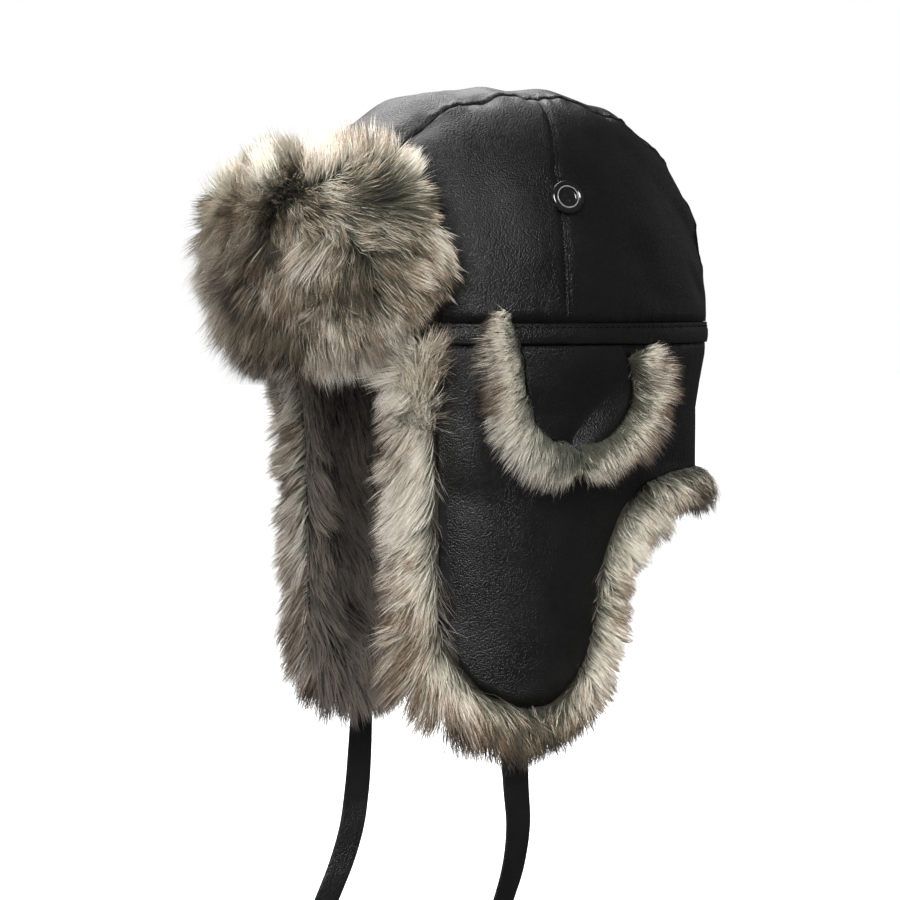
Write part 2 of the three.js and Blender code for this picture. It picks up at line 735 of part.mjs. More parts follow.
const surface = (color, roughness) => new THREE.MeshStandardMaterial({ color, roughness, metalness: 0 });
const MATERIALS = {
  leather: surface(0x262221, 0.55),
  fur: surface(0x9a8c78, 0.95),
  button: surface(0x0b0b0c, 0.12),
};

const hat = new THREE.Group();

function add(name, geometry, material) {
  const mesh = new THREE.Mesh(geometry, MATERIALS[material]);
  mesh.name = name;
  hat.add(mesh);
}

function addPair(name, geometry, material) {
  add(`${name}_left`, geometry, material);
  add(`${name}_right`, mirrored(geometry), material);
}

for (const [name, solid] of Object.entries(crownPanels())) {
  add(name, toGeometry(solid), "leather");
}
add("hat_band", hatBand(), "leather");
add("ear_flap_leather", earFlapLeather(), "leather");
const strapRoom = toManifold(strapSolid(LEFT_STRAP, GAP));
const strapRoomRight = toManifold(mirrored(strapSolid(RIGHT_STRAP, GAP)));
addPair("ear_flap_fur", toGeometry(flapFurLeft(strapRoom).subtract(strapRoomRight)), "fur");
add("neck_guard_fur", toGeometry(neckGuardFur()), "fur");
add("visor_leather", visorLeather(), "leather");
add("visor_fur", toGeometry(visorFur()), "fur");
addPair("side_flap_leather", sideFlapLeather(), "leather");
addPair("side_flap_fur", toGeometry(sideFlapFur()), "fur");
addPair("crown_button", placedButton(), "button");
add("tie_strap_left", strapSolid(LEFT_STRAP), "leather");
add("tie_strap_right", strapSolid(RIGHT_STRAP), "leather");

export default hat;
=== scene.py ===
"""A fur-trimmed trapper hat: its looks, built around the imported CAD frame.

Shapes are worked out in millimetres in the row frame (+Z up, front towards -Y, the wearer's left towards +X)
and turned into metres when a mesh is made. Turns are in degrees, 0 at the wearer's left and -90 at the front.
"""

import itertools
import math

import bpy
import numpy as np
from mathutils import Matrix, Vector
from mathutils.kdtree import KDTree


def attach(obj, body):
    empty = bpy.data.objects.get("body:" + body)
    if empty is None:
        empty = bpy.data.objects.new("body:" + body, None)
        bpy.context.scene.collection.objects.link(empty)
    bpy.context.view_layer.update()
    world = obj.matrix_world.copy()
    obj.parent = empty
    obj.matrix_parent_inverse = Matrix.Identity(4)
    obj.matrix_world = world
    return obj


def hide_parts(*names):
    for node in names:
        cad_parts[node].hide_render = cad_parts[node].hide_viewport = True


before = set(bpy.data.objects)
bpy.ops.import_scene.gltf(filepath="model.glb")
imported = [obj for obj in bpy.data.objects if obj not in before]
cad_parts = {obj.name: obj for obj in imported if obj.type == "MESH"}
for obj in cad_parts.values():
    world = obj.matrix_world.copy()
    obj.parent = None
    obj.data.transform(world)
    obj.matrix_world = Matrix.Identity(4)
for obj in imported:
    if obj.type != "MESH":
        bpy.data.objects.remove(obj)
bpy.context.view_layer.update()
rng = np.random.default_rng(23)
MM = 0.001

# The part's driving sizes in mm and turns in degrees, as in its source
HEAD_X, HEAD_Y = 95, 111  # half axes of the wall's oval
CROWN_TOP = 126
LEATHER = 2.2
CROWN_WALL = 2.6
GAP = 0.3
BAND_LOW, BAND_HIGH = -2.5, 7.7
CENTRE_PANEL_HALF = 42
SEAM_GAP = 0.4
STRAP_WIDTH, STRAP_THICK = 13.5, 2
LINING = 9
LINING_TOP = -6
FLAP_TOP = BAND_LOW - GAP
DRAWN_AT = -36  # the flaps are drawn in from the band down to here
DRAWN_IN = 0.06  # and by this share of the oval
VISOR_TOP = 84
VISOR_PILE = 25
VISOR_HALF = 51
VISOR_OFF, VISOR_LEAN = 1.4, 0.025  # how far the visor stands off the wall, and how much more for a mm of height
FLAP_FRONT, LINING_FRONT = -42, -47.5
FLAP_SPLIT = 20  # where the ear flap's fur meets the neck guard's
ROLL = 6.4  # radius of the fur's roll along an edge

# For the looks alone
FRONT, BACK = -90, 90  # turns
WALL_RADIUS = 103  # turns degrees into mm along the wall
CROWN_RADIUS = 118  # the same over the crown from front to back
UP = np.array([0, 0, 1.0])


def add_object(name, data):
    made = bpy.data.objects.new(name, data)
    bpy.context.scene.collection.objects.link(made)
    return made


def aim(thing, direction):
    """Turns a camera or a light to look that way."""
    thing.rotation_mode = "QUATERNION"
    thing.rotation_quaternion = direction.to_track_quat("-Z", "Y")


# Camera, where the photograph was taken from

CAMERA_TURN = 62
CAMERA_RISE = 3
CAMERA_AWAY = 1.5
CAMERA_LENS = 117
CAMERA_TARGET = Vector((-0.0113, -0.0213, -0.058))


def add_camera():
    turn, rise = math.radians(CAMERA_TURN), math.radians(CAMERA_RISE)
    back = Vector((math.sin(turn) * math.cos(rise), -math.cos(turn) * math.cos(rise), math.sin(rise)))
    data = bpy.data.cameras.new("camera")
    data.sensor_width = 36
    data.lens = CAMERA_LENS
    data.clip_start = 0.05
    data.clip_end = 60
    camera = add_object("camera", data)
    camera.location = CAMERA_TARGET + back * CAMERA_AWAY
    aim(camera, -back)
    bpy.context.scene.camera = camera


add_camera()


# Small helpers for arrays


def smooth(x, low, high):
    part = np.clip((x - low) / (high - low), 0, 1)
    return part * part * (3 - 2 * part)


def lerp(a, b, part):
    return a + (b - a) * part


def unit(v):
    return v / np.maximum(np.linalg.norm(v, axis=-1, keepdims=True), 1e-9)


def stack(x, y, z):
    return np.stack(np.broadcast_arrays(x, y, z), axis=-1).astype(float)


def bell(x, width):
    return np.exp(-((x / width) ** 2))


def ripple(run, pitch, phase):
    return np.sin(run * 2 * np.pi / pitch + phase)


def along_wall(t):
    """Degrees as mm along the wall."""
    return np.radians(t) * WALL_RADIUS


def halved(low, high, is_below):
    """Narrows two arrays of bounds down to the place where is_below turns from true to false."""
    for _ in range(40):
        middle = (low + high) / 2
        below = is_below(middle)
        low, high = np.where(below, middle, low), np.where(below, high, middle)
    return low


def grid(us, vs):
    return np.meshgrid(np.asarray(us, float), np.asarray(vs, float), indexing="ij")


def table(rows, names):
    """Columns of a small table as named arrays."""
    columns = np.array(rows, float).T
    return dict(zip(names.split(), columns))


def patches(points, size, seed):
    """Soft noise from 0 to 1 in patches of that size."""
    q = points / size + seed * 7.31
    corner = np.floor(q)
    part = q - corner
    part = part * part * (3 - 2 * part)
    total = np.zeros(q.shape[:-1])
    for step in itertools.product((0, 1), repeat=3):
        place = corner + step
        number = np.sin(place @ np.array([127.1, 311.7, 74.7]) + seed) * 43758.5453
        weight = np.prod(np.where(np.array(step) == 1, part, 1 - part), axis=-1)
        total += weight * (number - np.floor(number))
    return total


# Meshes from arrays


def make_mesh(name, points, faces, materials, face_material=None, uv=None):
    """One object from points in mm and a list of arrays of faces with 3 or 4 corners each."""
    mesh = bpy.data.meshes.new(name)
    corners = np.concatenate([f.ravel() for f in faces]).astype(np.int32)
    sizes = np.concatenate([np.full(len(f), f.shape[1], np.int32) for f in faces])
    starts = np.concatenate([[0], np.cumsum(sizes)[:-1]]).astype(np.int32)
    mesh.vertices.add(len(points))
    mesh.vertices.foreach_set("co", (np.asarray(points) * MM).astype(np.float32).ravel())
    mesh.loops.add(len(corners))
    mesh.loops.foreach_set("vertex_index", corners)
    mesh.polygons.add(len(sizes))
    mesh.polygons.foreach_set("loop_start", starts)
    if uv is not None:
        layer = mesh.uv_layers.new(name="OFBake")
        layer.data.foreach_set("uv", uv[corners].astype(np.float32).ravel())
    for material in materials:
        mesh.materials.append(material)
    if face_material is not None:
        mesh.polygons.foreach_set("material_index", face_material.astype(np.int32))
    mesh.update(calc_edges=True)
    mesh.shade_smooth()
    return add_object(name, mesh)


def hoop_quads(hoops, sides):
    """Quads between neighbouring hoops of points, and for each the number of its hoop."""
    i, j = np.meshgrid(np.arange(hoops - 1), np.arange(sides), indexing="ij")
    a, b = i * sides + j, i * sides + (j + 1) % sides
    return np.stack([a, b, b + sides, a + sides], -1).reshape(-1, 4), i.ravel()


def hoop_caps(hoops, sides):
    """Quads that close the first and the last hoop."""
    caps = []
    for base, flip in ((0, True), ((hoops - 1) * sides, False)):
        for k in range(sides // 2 - 1):
            cap = [base + k, base + k + 1, base + sides - 2 - k, base + sides - 1 - k]
            caps.append(cap[::-1] if flip else cap)
    return np.array(caps)


def volume_of(points, quads):
    a, b, c, d = (points[quads[:, i]] for i in range(4))
    return (np.einsum("ij,ij->i", a, np.cross(b, c)) + np.einsum("ij,ij->i", a, np.cross(c, d))).sum() / 6


def shell(outer, inner, ring=False):
    """A closed wall between two grids of points: its points, its quads, and 1 for each quad of the inner side."""
    nu, nv = outer.shape[:2]
    points = np.concatenate([outer.reshape(-1, 3), inner.reshape(-1, 3)])
    columns = nu if ring else nu - 1
    i, j = np.meshgrid(np.arange(columns), np.arange(nv - 1), indexing="ij")
    at = lambda i, j: (i % nu) * nv + j
    a, b, c, d = at(i, j), at(i + 1, j), at(i + 1, j + 1), at(i, j + 1)
    far = nu * nv
    top = np.stack([a, b, c, d], -1).reshape(-1, 4)
    low = top[:, [0, 3, 2, 1]] + far

    def rim(a, b, turned):
        return np.stack([a, a + far, b + far, b] if turned else [a, b, b + far, a + far], -1)

    k, m = np.arange(columns), np.arange(nv - 1)
    rims = [rim(at(k, 0), at(k + 1, 0), True), rim(at(k, nv - 1), at(k + 1, nv - 1), False)]
    if not ring:
        rims += [rim(at(0, m), at(0, m + 1), False), rim(at(nu - 1, m), at(nu - 1, m + 1), True)]
    quads = np.concatenate([top, low, *rims])
    side = np.concatenate([np.zeros(len(top)), np.ones(len(low)), np.zeros(sum(len(r) for r in rims))])
    if volume_of(points, quads) < 0:
        quads = quads[:, ::-1]
    return points, quads, side


def wall_piece(name, outer, inner, materials, ring=False):
    points, quads, side = shell(outer, inner, ring)
    return make_mesh(name, points, [quads], materials, side if len(materials) > 1 else None)


def mirror(values):
    out = values.copy()
    out[..., 0] *= -1
    return out


def mirrored_field(field):
    return {key: mirror(v) if v.ndim == 3 else v for key, v in field.items()}


def unchanged(values):
    return values


# Each hand with what turns the left side's points and fields into its own
HANDS = (("left", unchanged, unchanged), ("right", mirror, mirrored_field))


# Where the hat's surfaces are, as in the part's source


def on_left(t):
    around = np.where(t > 270, t - 360, t)
    return np.where(around > 90, 180 - around, around)


def hang_at(z):
    return np.clip((FLAP_TOP - z) / (FLAP_TOP - DRAWN_AT), 0, 1)


def wall_normal(t):
    turn = np.radians(t)
    return unit(stack(np.cos(turn) / HEAD_X, np.sin(turn) / HEAD_Y, 0))


def wall_along(t):
    normal = wall_normal(t)
    return stack(-normal[..., 1], normal[..., 0], 0)


def wall_point(t, z, out=0.0):
    turn = np.radians(t)
    draw = 1 - DRAWN_IN * hang_at(z)
    point = stack(HEAD_X * draw * np.cos(turn), HEAD_Y * draw * np.sin(turn), z)
    return point + wall_normal(t) * np.asarray(out)[..., None]


FLAP_EDGE = table(
    [
        (-42, -138), (-37, -155), (-29, -171), (-19, -178.5), (-10.5, -177.5), (-4, -167), (0.8, -151),
        (3.6, -126), (7, -102), (12, -84), (21, -72), (34, -67), (52, -66), (70, -67), (90, -68),
    ],
    "t z",
)


def flap_bottom(t):
    turn = on_left(t)
    spread = (-1.6, -0.8, 0, 0.8, 1.6)
    return sum(np.interp(turn + s, FLAP_EDGE["t"], FLAP_EDGE["z"]) for s in spread) / len(spread)


def flap_wave(t, z):
    turn = on_left(t)
    neck = smooth(turn, 20, 50)
    slow = 0.8 * np.sin(z / 30 + turn / 12)
    return hang_at(z) * (neck * 1.5 * np.sin(np.radians(8 * turn)) + (1 - neck) * slow)


def flap_height(t, row, top):
    reach = 3.2
    past = np.minimum(np.minimum(flap_bottom(t - reach), flap_bottom(t)), flap_bottom(t + reach)) - 5
    low = flap_bottom(t)
    drawn = lerp(top, DRAWN_AT, np.clip(row, 0, 1))
    hung = lerp(DRAWN_AT, low, np.clip((row - 1) / 3, 0, 1))
    lower = lerp(low, past, np.clip(row - 4, 0, 1))
    return np.where(row <= 1, drawn, np.where(row <= 4, hung, lower))


def visor_point(t, z, out):
    point = wall_point(t, np.zeros_like(z), out + VISOR_OFF + VISOR_LEAN * z)
    point[..., 2] = z
    return point


def pile_point(t, level, depth):
    """A point in the visor's pile: level from its lower to its upper edge, depth from the leather, 0, to 1."""
    away = np.abs(t - FRONT)
    end = smooth(away, 30, VISOR_HALF)
    dip = 2.4 * bell(away, 20) + 6.5 * bell(t + 109, 12)
    z = lerp(-6 + 32 * end, VISOR_TOP + 3 - 14 * end - dip, level)
    full = VISOR_PILE + 11 * bell(away - 37, 14)
    across = np.sqrt(np.maximum(1 - np.abs(2 * level - 1) ** 5, 0))
    along = np.sqrt(np.maximum(1 - (away / VISOR_HALF) ** 8, 0))
    thick = 3 + (full - 3) * across * along
    belly = bell(z - 44, 34) * (1 - smooth(away, 28, 46)) * across
    belly = belly * (8 + 5 * bell(away - 24, 10))
    out = thick * depth + belly * smooth(np.asarray(depth) + 0 * z, 0, 0.5)
    return visor_point(t, z, LEATHER + GAP + out)


# Materials


def new_material(name):
    material = bpy.data.materials.new(name)
    material.use_nodes = True
    tree = material.node_tree
    return material, tree, tree.nodes["Principled BSDF"]


def set_inputs(node, values):
    for key, value in values.items():
        node.inputs[key].default_value = value


def object_place(tree):
    return tree.nodes.new("ShaderNodeTexCoord").outputs["Object"]


def ramp_node(tree, source, stops):
    ramp = tree.nodes.new("ShaderNodeValToRGB")
    elements = ramp.color_ramp.elements
    while len(elements) > 1:
        elements.remove(elements[-1])
    for k, (at, colour) in enumerate(stops):
        element = elements[0] if k == 0 else elements.new(at)
        element.position = at
        element.color = (*colour, 1) if hasattr(colour, "__len__") else (colour, colour, colour, 1)
    tree.links.new(source, ramp.inputs[0])
    return ramp.outputs[0]


def noise_node(tree, where, scale, detail=3, roughness=0.55):
    noise = tree.nodes.new("ShaderNodeTexNoise")
    set_inputs(noise, {"Scale": scale, "Detail": detail, "Roughness": roughness})
    tree.links.new(where, noise.inputs["Vector"])
    return noise.outputs["Fac"]


def bump_node(tree, height, distance, strength, under=None):
    bump = tree.nodes.new("ShaderNodeBump")
    set_inputs(bump, {"Distance": distance, "Strength": strength})
    tree.links.new(height, bump.inputs["Height"])
    if under is not None:
        tree.links.new(under, bump.inputs["Normal"])
    return bump.outputs["Normal"]


def leather_material(name, tone=0.0045, grain=1.0):
    """Black pebbled leather: rounded grains about a millimetre wide with creases between them."""
    material, tree, surface = new_material(name)
    where = object_place(tree)
    pebbles = tree.nodes.new("ShaderNodeTexVoronoi")
    pebbles.feature = "F1"
    set_inputs(pebbles, {"Scale": 1160, "Randomness": 0.9})
    tree.links.new(where, pebbles.inputs["Vector"])
    domes = ramp_node(tree, pebbles.outputs["Distance"], [(0.0, 1.0), (0.3, 0.82), (0.62, 0.25), (0.85, 0.0)])
    swells = bump_node(tree, noise_node(tree, where, 70), 0.0008, 0.3)
    wrinkles = bump_node(tree, noise_node(tree, where, 420, 3, 0.6), 0.00002 * grain, 0.5, swells)
    grains = bump_node(tree, domes, 0.00023 * grain, 1.0, wrinkles)
    tree.links.new(grains, surface.inputs["Normal"])
    patch = noise_node(tree, where, 38, 4)
    dark, light = (tone * 0.8, tone * 0.79, tone * 0.8), (tone * 1.4, tone * 1.37, tone * 1.4)
    tree.links.new(ramp_node(tree, patch, [(0.3, dark), (0.7, light)]), surface.inputs["Base Color"])
    tree.links.new(ramp_node(tree, patch, [(0.3, 0.3), (0.7, 0.37)]), surface.inputs["Roughness"])
    set_inputs(surface, {"Specular IOR Level": 0.5})
    return material


def plain_material(name, colour, roughness, specular=0.5, weave=None):
    """One colour, a little uneven; weave is the scale of a fine rough texture."""
    material, tree, surface = new_material(name)
    where = object_place(tree)
    spread = noise_node(tree, where, 240)
    dark, light = tuple(c * 0.75 for c in colour), tuple(c * 1.3 for c in colour)
    tree.links.new(ramp_node(tree, spread, [(0.35, dark), (0.65, light)]), surface.inputs["Base Color"])
    set_inputs(surface, {"Roughness": roughness, "Specular IOR Level": specular})
    if weave:
        threads = noise_node(tree, where, weave, 2)
        tree.links.new(bump_node(tree, threads, 0.0003, 0.6), surface.inputs["Normal"])
    return material


def gloss_material(name):
    material, tree, surface = new_material(name)
    spread = noise_node(tree, object_place(tree), 500)
    tree.links.new(ramp_node(tree, spread, [(0.3, 0.004), (0.7, 0.007)]), surface.inputs["Base Color"])
    tree.links.new(ramp_node(tree, spread, [(0.3, 0.14), (0.7, 0.24)]), surface.inputs["Roughness"])
    set_inputs(surface, {"Specular IOR Level": 0.7, "IOR": 1.9})
    return material


# Colours along a strand from root to tip, for each kind of hair. The dark roots are partly the fur's own darker base
# and partly painted shade deep in the pile.
PALE_HAIR = [
    (0.0, (0.08, 0.082, 0.062)), (0.25, (0.2, 0.2, 0.152)), (0.46, (0.56, 0.53, 0.43)),
    (0.7, (0.95, 0.9, 0.79)), (1.0, (0.9, 0.82, 0.71)),
]
BANDED_HAIR = [
    (0.0, (0.06, 0.062, 0.046)), (0.24, (0.14, 0.143, 0.108)), (0.44, (0.36, 0.345, 0.27)),
    (0.62, (0.8, 0.705, 0.565)), (0.8, (0.48, 0.345, 0.235)), (0.92, (0.18, 0.113, 0.073)),
    (1.0, (0.105, 0.065, 0.043)),
]
MIXED_HAIR = [
    (0.0, (0.024, 0.025, 0.017)), (0.3, (0.05, 0.051, 0.034)), (0.52, (0.1, 0.091, 0.056)),
    (0.72, (0.2, 0.163, 0.103)), (0.88, (0.155, 0.104, 0.064)), (1.0, (0.085, 0.052, 0.033)),
]
DARK_HAIR = [
    (0.0, (0.014, 0.014, 0.011)), (0.35, (0.026, 0.027, 0.02)), (0.6, (0.042, 0.042, 0.032)),
    (0.82, (0.085, 0.078, 0.06)), (1.0, (0.06, 0.047, 0.036)),
]
# Kinds for the flaps' inner lining: the same fur as outside, made darker as painted shade for the flaps' hidden
# inside.
SHADED_HAIR = [
    (0.0, (0.045, 0.04, 0.034)), (0.4, (0.13, 0.113, 0.098)), (0.75, (0.25, 0.213, 0.185)),
    (1.0, (0.28, 0.232, 0.195)),
]
WARM_HAIR = [
    (0.0, (0.04, 0.035, 0.028)), (0.4, (0.14, 0.122, 0.1)), (0.75, (0.34, 0.285, 0.235)),
    (1.0, (0.5, 0.41, 0.33)),
]
TRIM_HAIR = [
    (0.0, (0.045, 0.047, 0.034)), (0.24, (0.085, 0.087, 0.063)), (0.37, (0.17, 0.165, 0.122)),
    (0.46, (0.68, 0.63, 0.52)), (0.59, (0.76, 0.69, 0.57)), (0.7, (0.31, 0.225, 0.165)),
    (0.84, (0.1, 0.067, 0.046)), (1.0, (0.04, 0.027, 0.02)),
]


def strand_material(name, kinds):
    """Fur: u of the map picks the kind of hair, v runs along it from root to tip."""
    material, tree, surface = new_material(name)
    layer = tree.nodes.new("ShaderNodeUVMap")
    layer.uv_map = "OFBake"
    parts = tree.nodes.new("ShaderNodeSeparateXYZ")
    tree.links.new(layer.outputs["UV"], parts.inputs[0])
    kind, along = parts.outputs["X"], parts.outputs["Y"]
    colours = [ramp_node(tree, along, stops) for stops in kinds]
    mixed = colours[0]
    for k, upper in enumerate(colours[1:]):
        low = (k + 0.15) / (len(colours) - 1)
        high = (k + 0.85) / (len(colours) - 1)
        mix = tree.nodes.new("ShaderNodeMix")
        mix.data_type = "RGBA"
        tree.links.new(ramp_node(tree, kind, [(low, 0.0), (high, 1.0)]), mix.inputs["Factor"])
        tree.links.new(mixed, mix.inputs["A"])
        tree.links.new(upper, mix.inputs["B"])
        mixed = mix.outputs["Result"]
    tree.links.new(mixed, surface.inputs["Base Color"])
    look = {"Roughness": 0.68, "Specular IOR Level": 0.22, "Sheen Weight": 0.12, "Sheen Roughness": 0.5}
    set_inputs(surface, look)
    return material


LEATHER_MATERIAL = leather_material("black_leather")
STRAP_MATERIAL = leather_material("strap_leather", tone=0.006, grain=0.6)
BACKING = plain_material("black_backing", (0.012, 0.012, 0.013), 0.9, 0.2, weave=1400)
THREAD = plain_material("black_thread", (0.0035, 0.0035, 0.004), 0.8, 0.12, weave=4000)
UNDERCOAT = plain_material("fur_undercoat", (0.045, 0.043, 0.033), 0.95, 0.1, weave=900)
STRANDS = strand_material("fur_strands", (DARK_HAIR, MIXED_HAIR, BANDED_HAIR, PALE_HAIR))
TRIM_STRANDS = strand_material("trim_strands", (MIXED_HAIR, TRIM_HAIR, PALE_HAIR))
# The lining's fur, darker than the outside's as painted shade.
PAINTED_SHADE_LINING_STRANDS = strand_material("painted_shade_lining_strands", (SHADED_HAIR, WARM_HAIR))
LINED = [LEATHER_MATERIAL, BACKING]
GLOSS = gloss_material("black_gloss")
# Light grey for the buttons' inner ring: a painted highlight, the shine of the black plastic ring given as colour.
PAINTED_HIGHLIGHT_RING = plain_material("grey_ring_painted_highlight", (0.19, 0.19, 0.195), 0.3, 0.8)


def place(piece, slot, *nodes):
    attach(piece, "root")
    if nodes:
        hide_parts(*nodes)


# Crown

CROWN_FOLDS = [
    # t0, z0, t1, z1, width, depth
    (22, 90, 58, 50, 8, 3.0),
    (30, 74, 58, 34, 8, 3.0),
    (44, 66, 62, 44, 5, 1.8),
    (40, 36, 58, 14, 5, 2.2),
    (8, 60, 24, 22, 9, 1.0),
    (-30, 84, -22, 40, 9, 0.8),
    (14, 24, 34, 15, 5, 1.2),
    (-34, 22, -16, 15, 5, 0.9),
]


def fold_depth(rows, t, z, across):
    """Soft lines pressed into a surface; across is its width in mm for a degree."""
    depth = 0
    for t0, z0, t1, z1, width, deep in rows:
        run_x, run_z = (t1 - t0) * across, z1 - z0
        here_x, here_z = (t - t0) * across, z - z0
        part = np.clip((here_x * run_x + here_z * run_z) / (run_x**2 + run_z**2), 0, 1)
        away = np.hypot(here_x - run_x * part, here_z - run_z * part)
        depth = depth + deep * bell(away, width) * (0.35 + 0.65 * np.sin(np.pi * part))
    return depth


def power_at(t):
    return 2.7 - 0.25 * np.sin(np.radians(t))


STITCHES_FROM_SEAM = 2.3


def seam_y(z):
    """Where the side seam runs: straight up from the band, then back to meet the centre panel."""
    return np.interp(z, [-200, 82, 117, 200], [-12, -12, -2, -2])


def dome_at(t, z):
    """A point of the plain dome at a turn and a height."""
    power, turn = power_at(t), np.radians(t)
    reach = (1 - (z / CROWN_TOP) ** power) ** (1 / power)
    return stack(HEAD_X * reach * np.cos(turn), HEAD_Y * reach * np.sin(turn), z)


def dome_normal(point):
    x, y, z = point[..., 0], point[..., 1], point[..., 2]
    reach = np.hypot(x / HEAD_X, y / HEAD_Y)
    power = power_at(np.degrees(np.arctan2(y / HEAD_Y, x / HEAD_X)))
    slope = np.maximum(reach, 1e-6) ** (power - 2)
    upward = np.maximum(z / CROWN_TOP, 0) ** (power - 1) / CROWN_TOP
    return unit(stack(x / HEAD_X**2 * slope, y / HEAD_Y**2 * slope, upward))


def seam_relief(from_seam, run, x, raised, point):
    """Puckers, gathers and rolled edges beside the centre panel's seams, and the panel's sag between them."""
    pucker = np.cos((run - 184) * 2 * np.pi / 33 + 0.5 * np.sin(run / 13))
    low = (0.8 + 1.5 * pucker) * bell(from_seam, 6) * raised
    low = low - 0.5 * bell(from_seam + 2.4, 1.7) * raised
    inward = smooth(-from_seam, -1, 26) * (1 - smooth(-from_seam, 20, 42))
    low = low - 1.5 * inward * raised * (0.3 - pucker)
    gather = ripple(run, 9.5, 1.8 * np.sin(run / 7.3) + x / 9)
    return low + 0.42 * bell(np.abs(from_seam) - 2, 6) * raised * gather * (0.5 + patches(point, 26, 3))


def crown_relief(point, side_panel):
    """How far the leather lies below the plain dome."""
    x, y, z = point[..., 0], point[..., 1], point[..., 2]
    t = np.degrees(np.arctan2(y / HEAD_Y, x / HEAD_X))
    from_seam = np.abs(x) - CENTRE_PANEL_HALF
    run = np.degrees(np.arctan2(z, -y))
    run = np.radians(np.where(run < 0, run + 360, run)) * CROWN_RADIUS
    low = 1.0 * smooth(z, 70, 112) + seam_relief(from_seam, run, x, smooth(z, 20, 60), point)
    low = low + 0.55 * bell(from_seam, 0.8) * smooth(z, 8, 20)
    low = low + 0.3 * bell(z - 8, 8) * ripple(along_wall(t), 8.5, 2 * patches(point, 20, 5))
    low = low + 0.3 * bell(z - 8, 2.6)
    creased = fold_depth(CROWN_FOLDS, on_left(t), z, math.radians(1) * HEAD_Y) * smooth(z, 8, 26)
    low = low + np.where(np.abs(x) > 30, creased, 0)
    low = low + 1.2 * (patches(point, 34, 8) - 0.5) + 0.5 * (patches(point, 15, 9) - 0.5)
    if side_panel:
        beside = y - seam_y(z)
        low = low + np.where(beside < 0, -0.1, 0.5) * np.exp(-np.abs(beside) / 1.6)
        low = low + 0.32 * bell(beside + STITCHES_FROM_SEAM, 0.9) - 0.16 * bell(beside + 5, 2.6)
    return low


def crown_surface(point, side_panel):
    return point - dome_normal(point) * crown_relief(point, side_panel)[..., None]


def crown_inside(point, side_panel):
    depth = np.maximum(CROWN_WALL, crown_relief(point, side_panel) + 0.9)
    return point - dome_normal(point) * depth[..., None]


def crown_piece(name, plain, side_panel, node):
    surfaces = crown_surface(plain, side_panel), crown_inside(plain, side_panel)
    place(wall_piece(name, *surfaces, LINED), "leather", node)


def centre_panel_point(x, part):
    """A point of the plain dome in the plane of that x, part of the way from the band in front to the back."""
    side = x / HEAD_X
    foot_z = (BAND_HIGH + GAP) / CROWN_TOP
    ends = []
    for t in (FRONT, BACK):
        foot = (1 - foot_z ** power_at(t)) ** (1 / power_at(t))
        ends.append(np.arctan2(foot_z, np.sqrt(foot**2 - side**2)))
    angle = lerp(ends[0], np.pi - ends[1], part)

    def inside(far):
        y, z = -far * np.cos(angle), far * np.sin(angle)
        reach = np.hypot(side, y)
        power = 2.7 - 0.25 * y / np.maximum(reach, 1e-9)
        return reach**power + np.maximum(z, 0) ** power < 1

    far = halved(np.zeros_like(angle), np.full_like(angle, 1.4), inside)
    return stack(x, -far * np.cos(angle) * HEAD_Y, far * np.sin(angle) * CROWN_TOP)


def side_panel_point(t, part, edge):
    """A point of the plain dome at turn t, part of the way from the band up to the centre panel's edge."""
    power, turn = power_at(t), np.radians(t)
    low = np.arcsin(((BAND_HIGH + GAP) / CROWN_TOP) ** (power / 2))
    share = np.clip(edge / HEAD_X / np.cos(turn), 0, 1)
    high = np.maximum(np.arccos(np.clip(share ** (power / 2), 0, 1)), low + 1e-4)
    lift = lerp(low, high, part)
    reach = np.cos(lift) ** (2 / power)
    return stack(HEAD_X * reach * np.cos(turn), HEAD_Y * reach * np.sin(turn), CROWN_TOP * np.sin(lift) ** (2 / power))


def side_panel_grid(front, columns, rows):
    edge = CENTRE_PANEL_HALF + SEAM_GAP / 2
    part = np.linspace(0, 1, rows)
    offset = -SEAM_GAP / 2 if front else SEAM_GAP / 2

    def ahead_of_seam(t):
        point = side_panel_point(t, part, edge)
        return point[:, 1] < seam_y(point[:, 2]) + offset

    at_seam = halved(np.full(rows, -30.0), np.full(rows, 30.0), ahead_of_seam)
    last = -63.3 if front else 63.3
    across = np.linspace(0, 1, columns) ** 1.7
    t = at_seam[None, :] + (last - at_seam[None, :]) * across[:, None]
    return side_panel_point(t, np.broadcast_to(part, t.shape), edge)


def build_crown():
    half = CENTRE_PANEL_HALF - SEAM_GAP / 2
    widest = np.pi / 2 * 0.96
    across = half * np.sin(np.linspace(-1, 1, 38) * widest) / math.sin(widest)
    x, part = grid(across, np.linspace(0, 1, 150))
    crown_piece("crown_centre_leather", centre_panel_point(x, part), False, "crown_centre_panel")
    for where, front in (("front", True), ("back", False)):
        plain = side_panel_grid(front, 50, 46)
        for hand, side, _ in HANDS:
            crown_piece(f"crown_{where}_leather_{hand}", side(plain), True, f"crown_{where}_panel_{hand}")


build_crown()


# Stitches


STITCH_SIDES = 6
# Place along a stitch in its lengths, then thickness and lift in its radii
STITCH_LEVELS = [(-0.5, 0.35, -0.5), (-0.3, 0.9, 0.1), (0, 1.0, 0.3), (0.3, 0.9, 0.1), (0.5, 0.35, -0.5)]


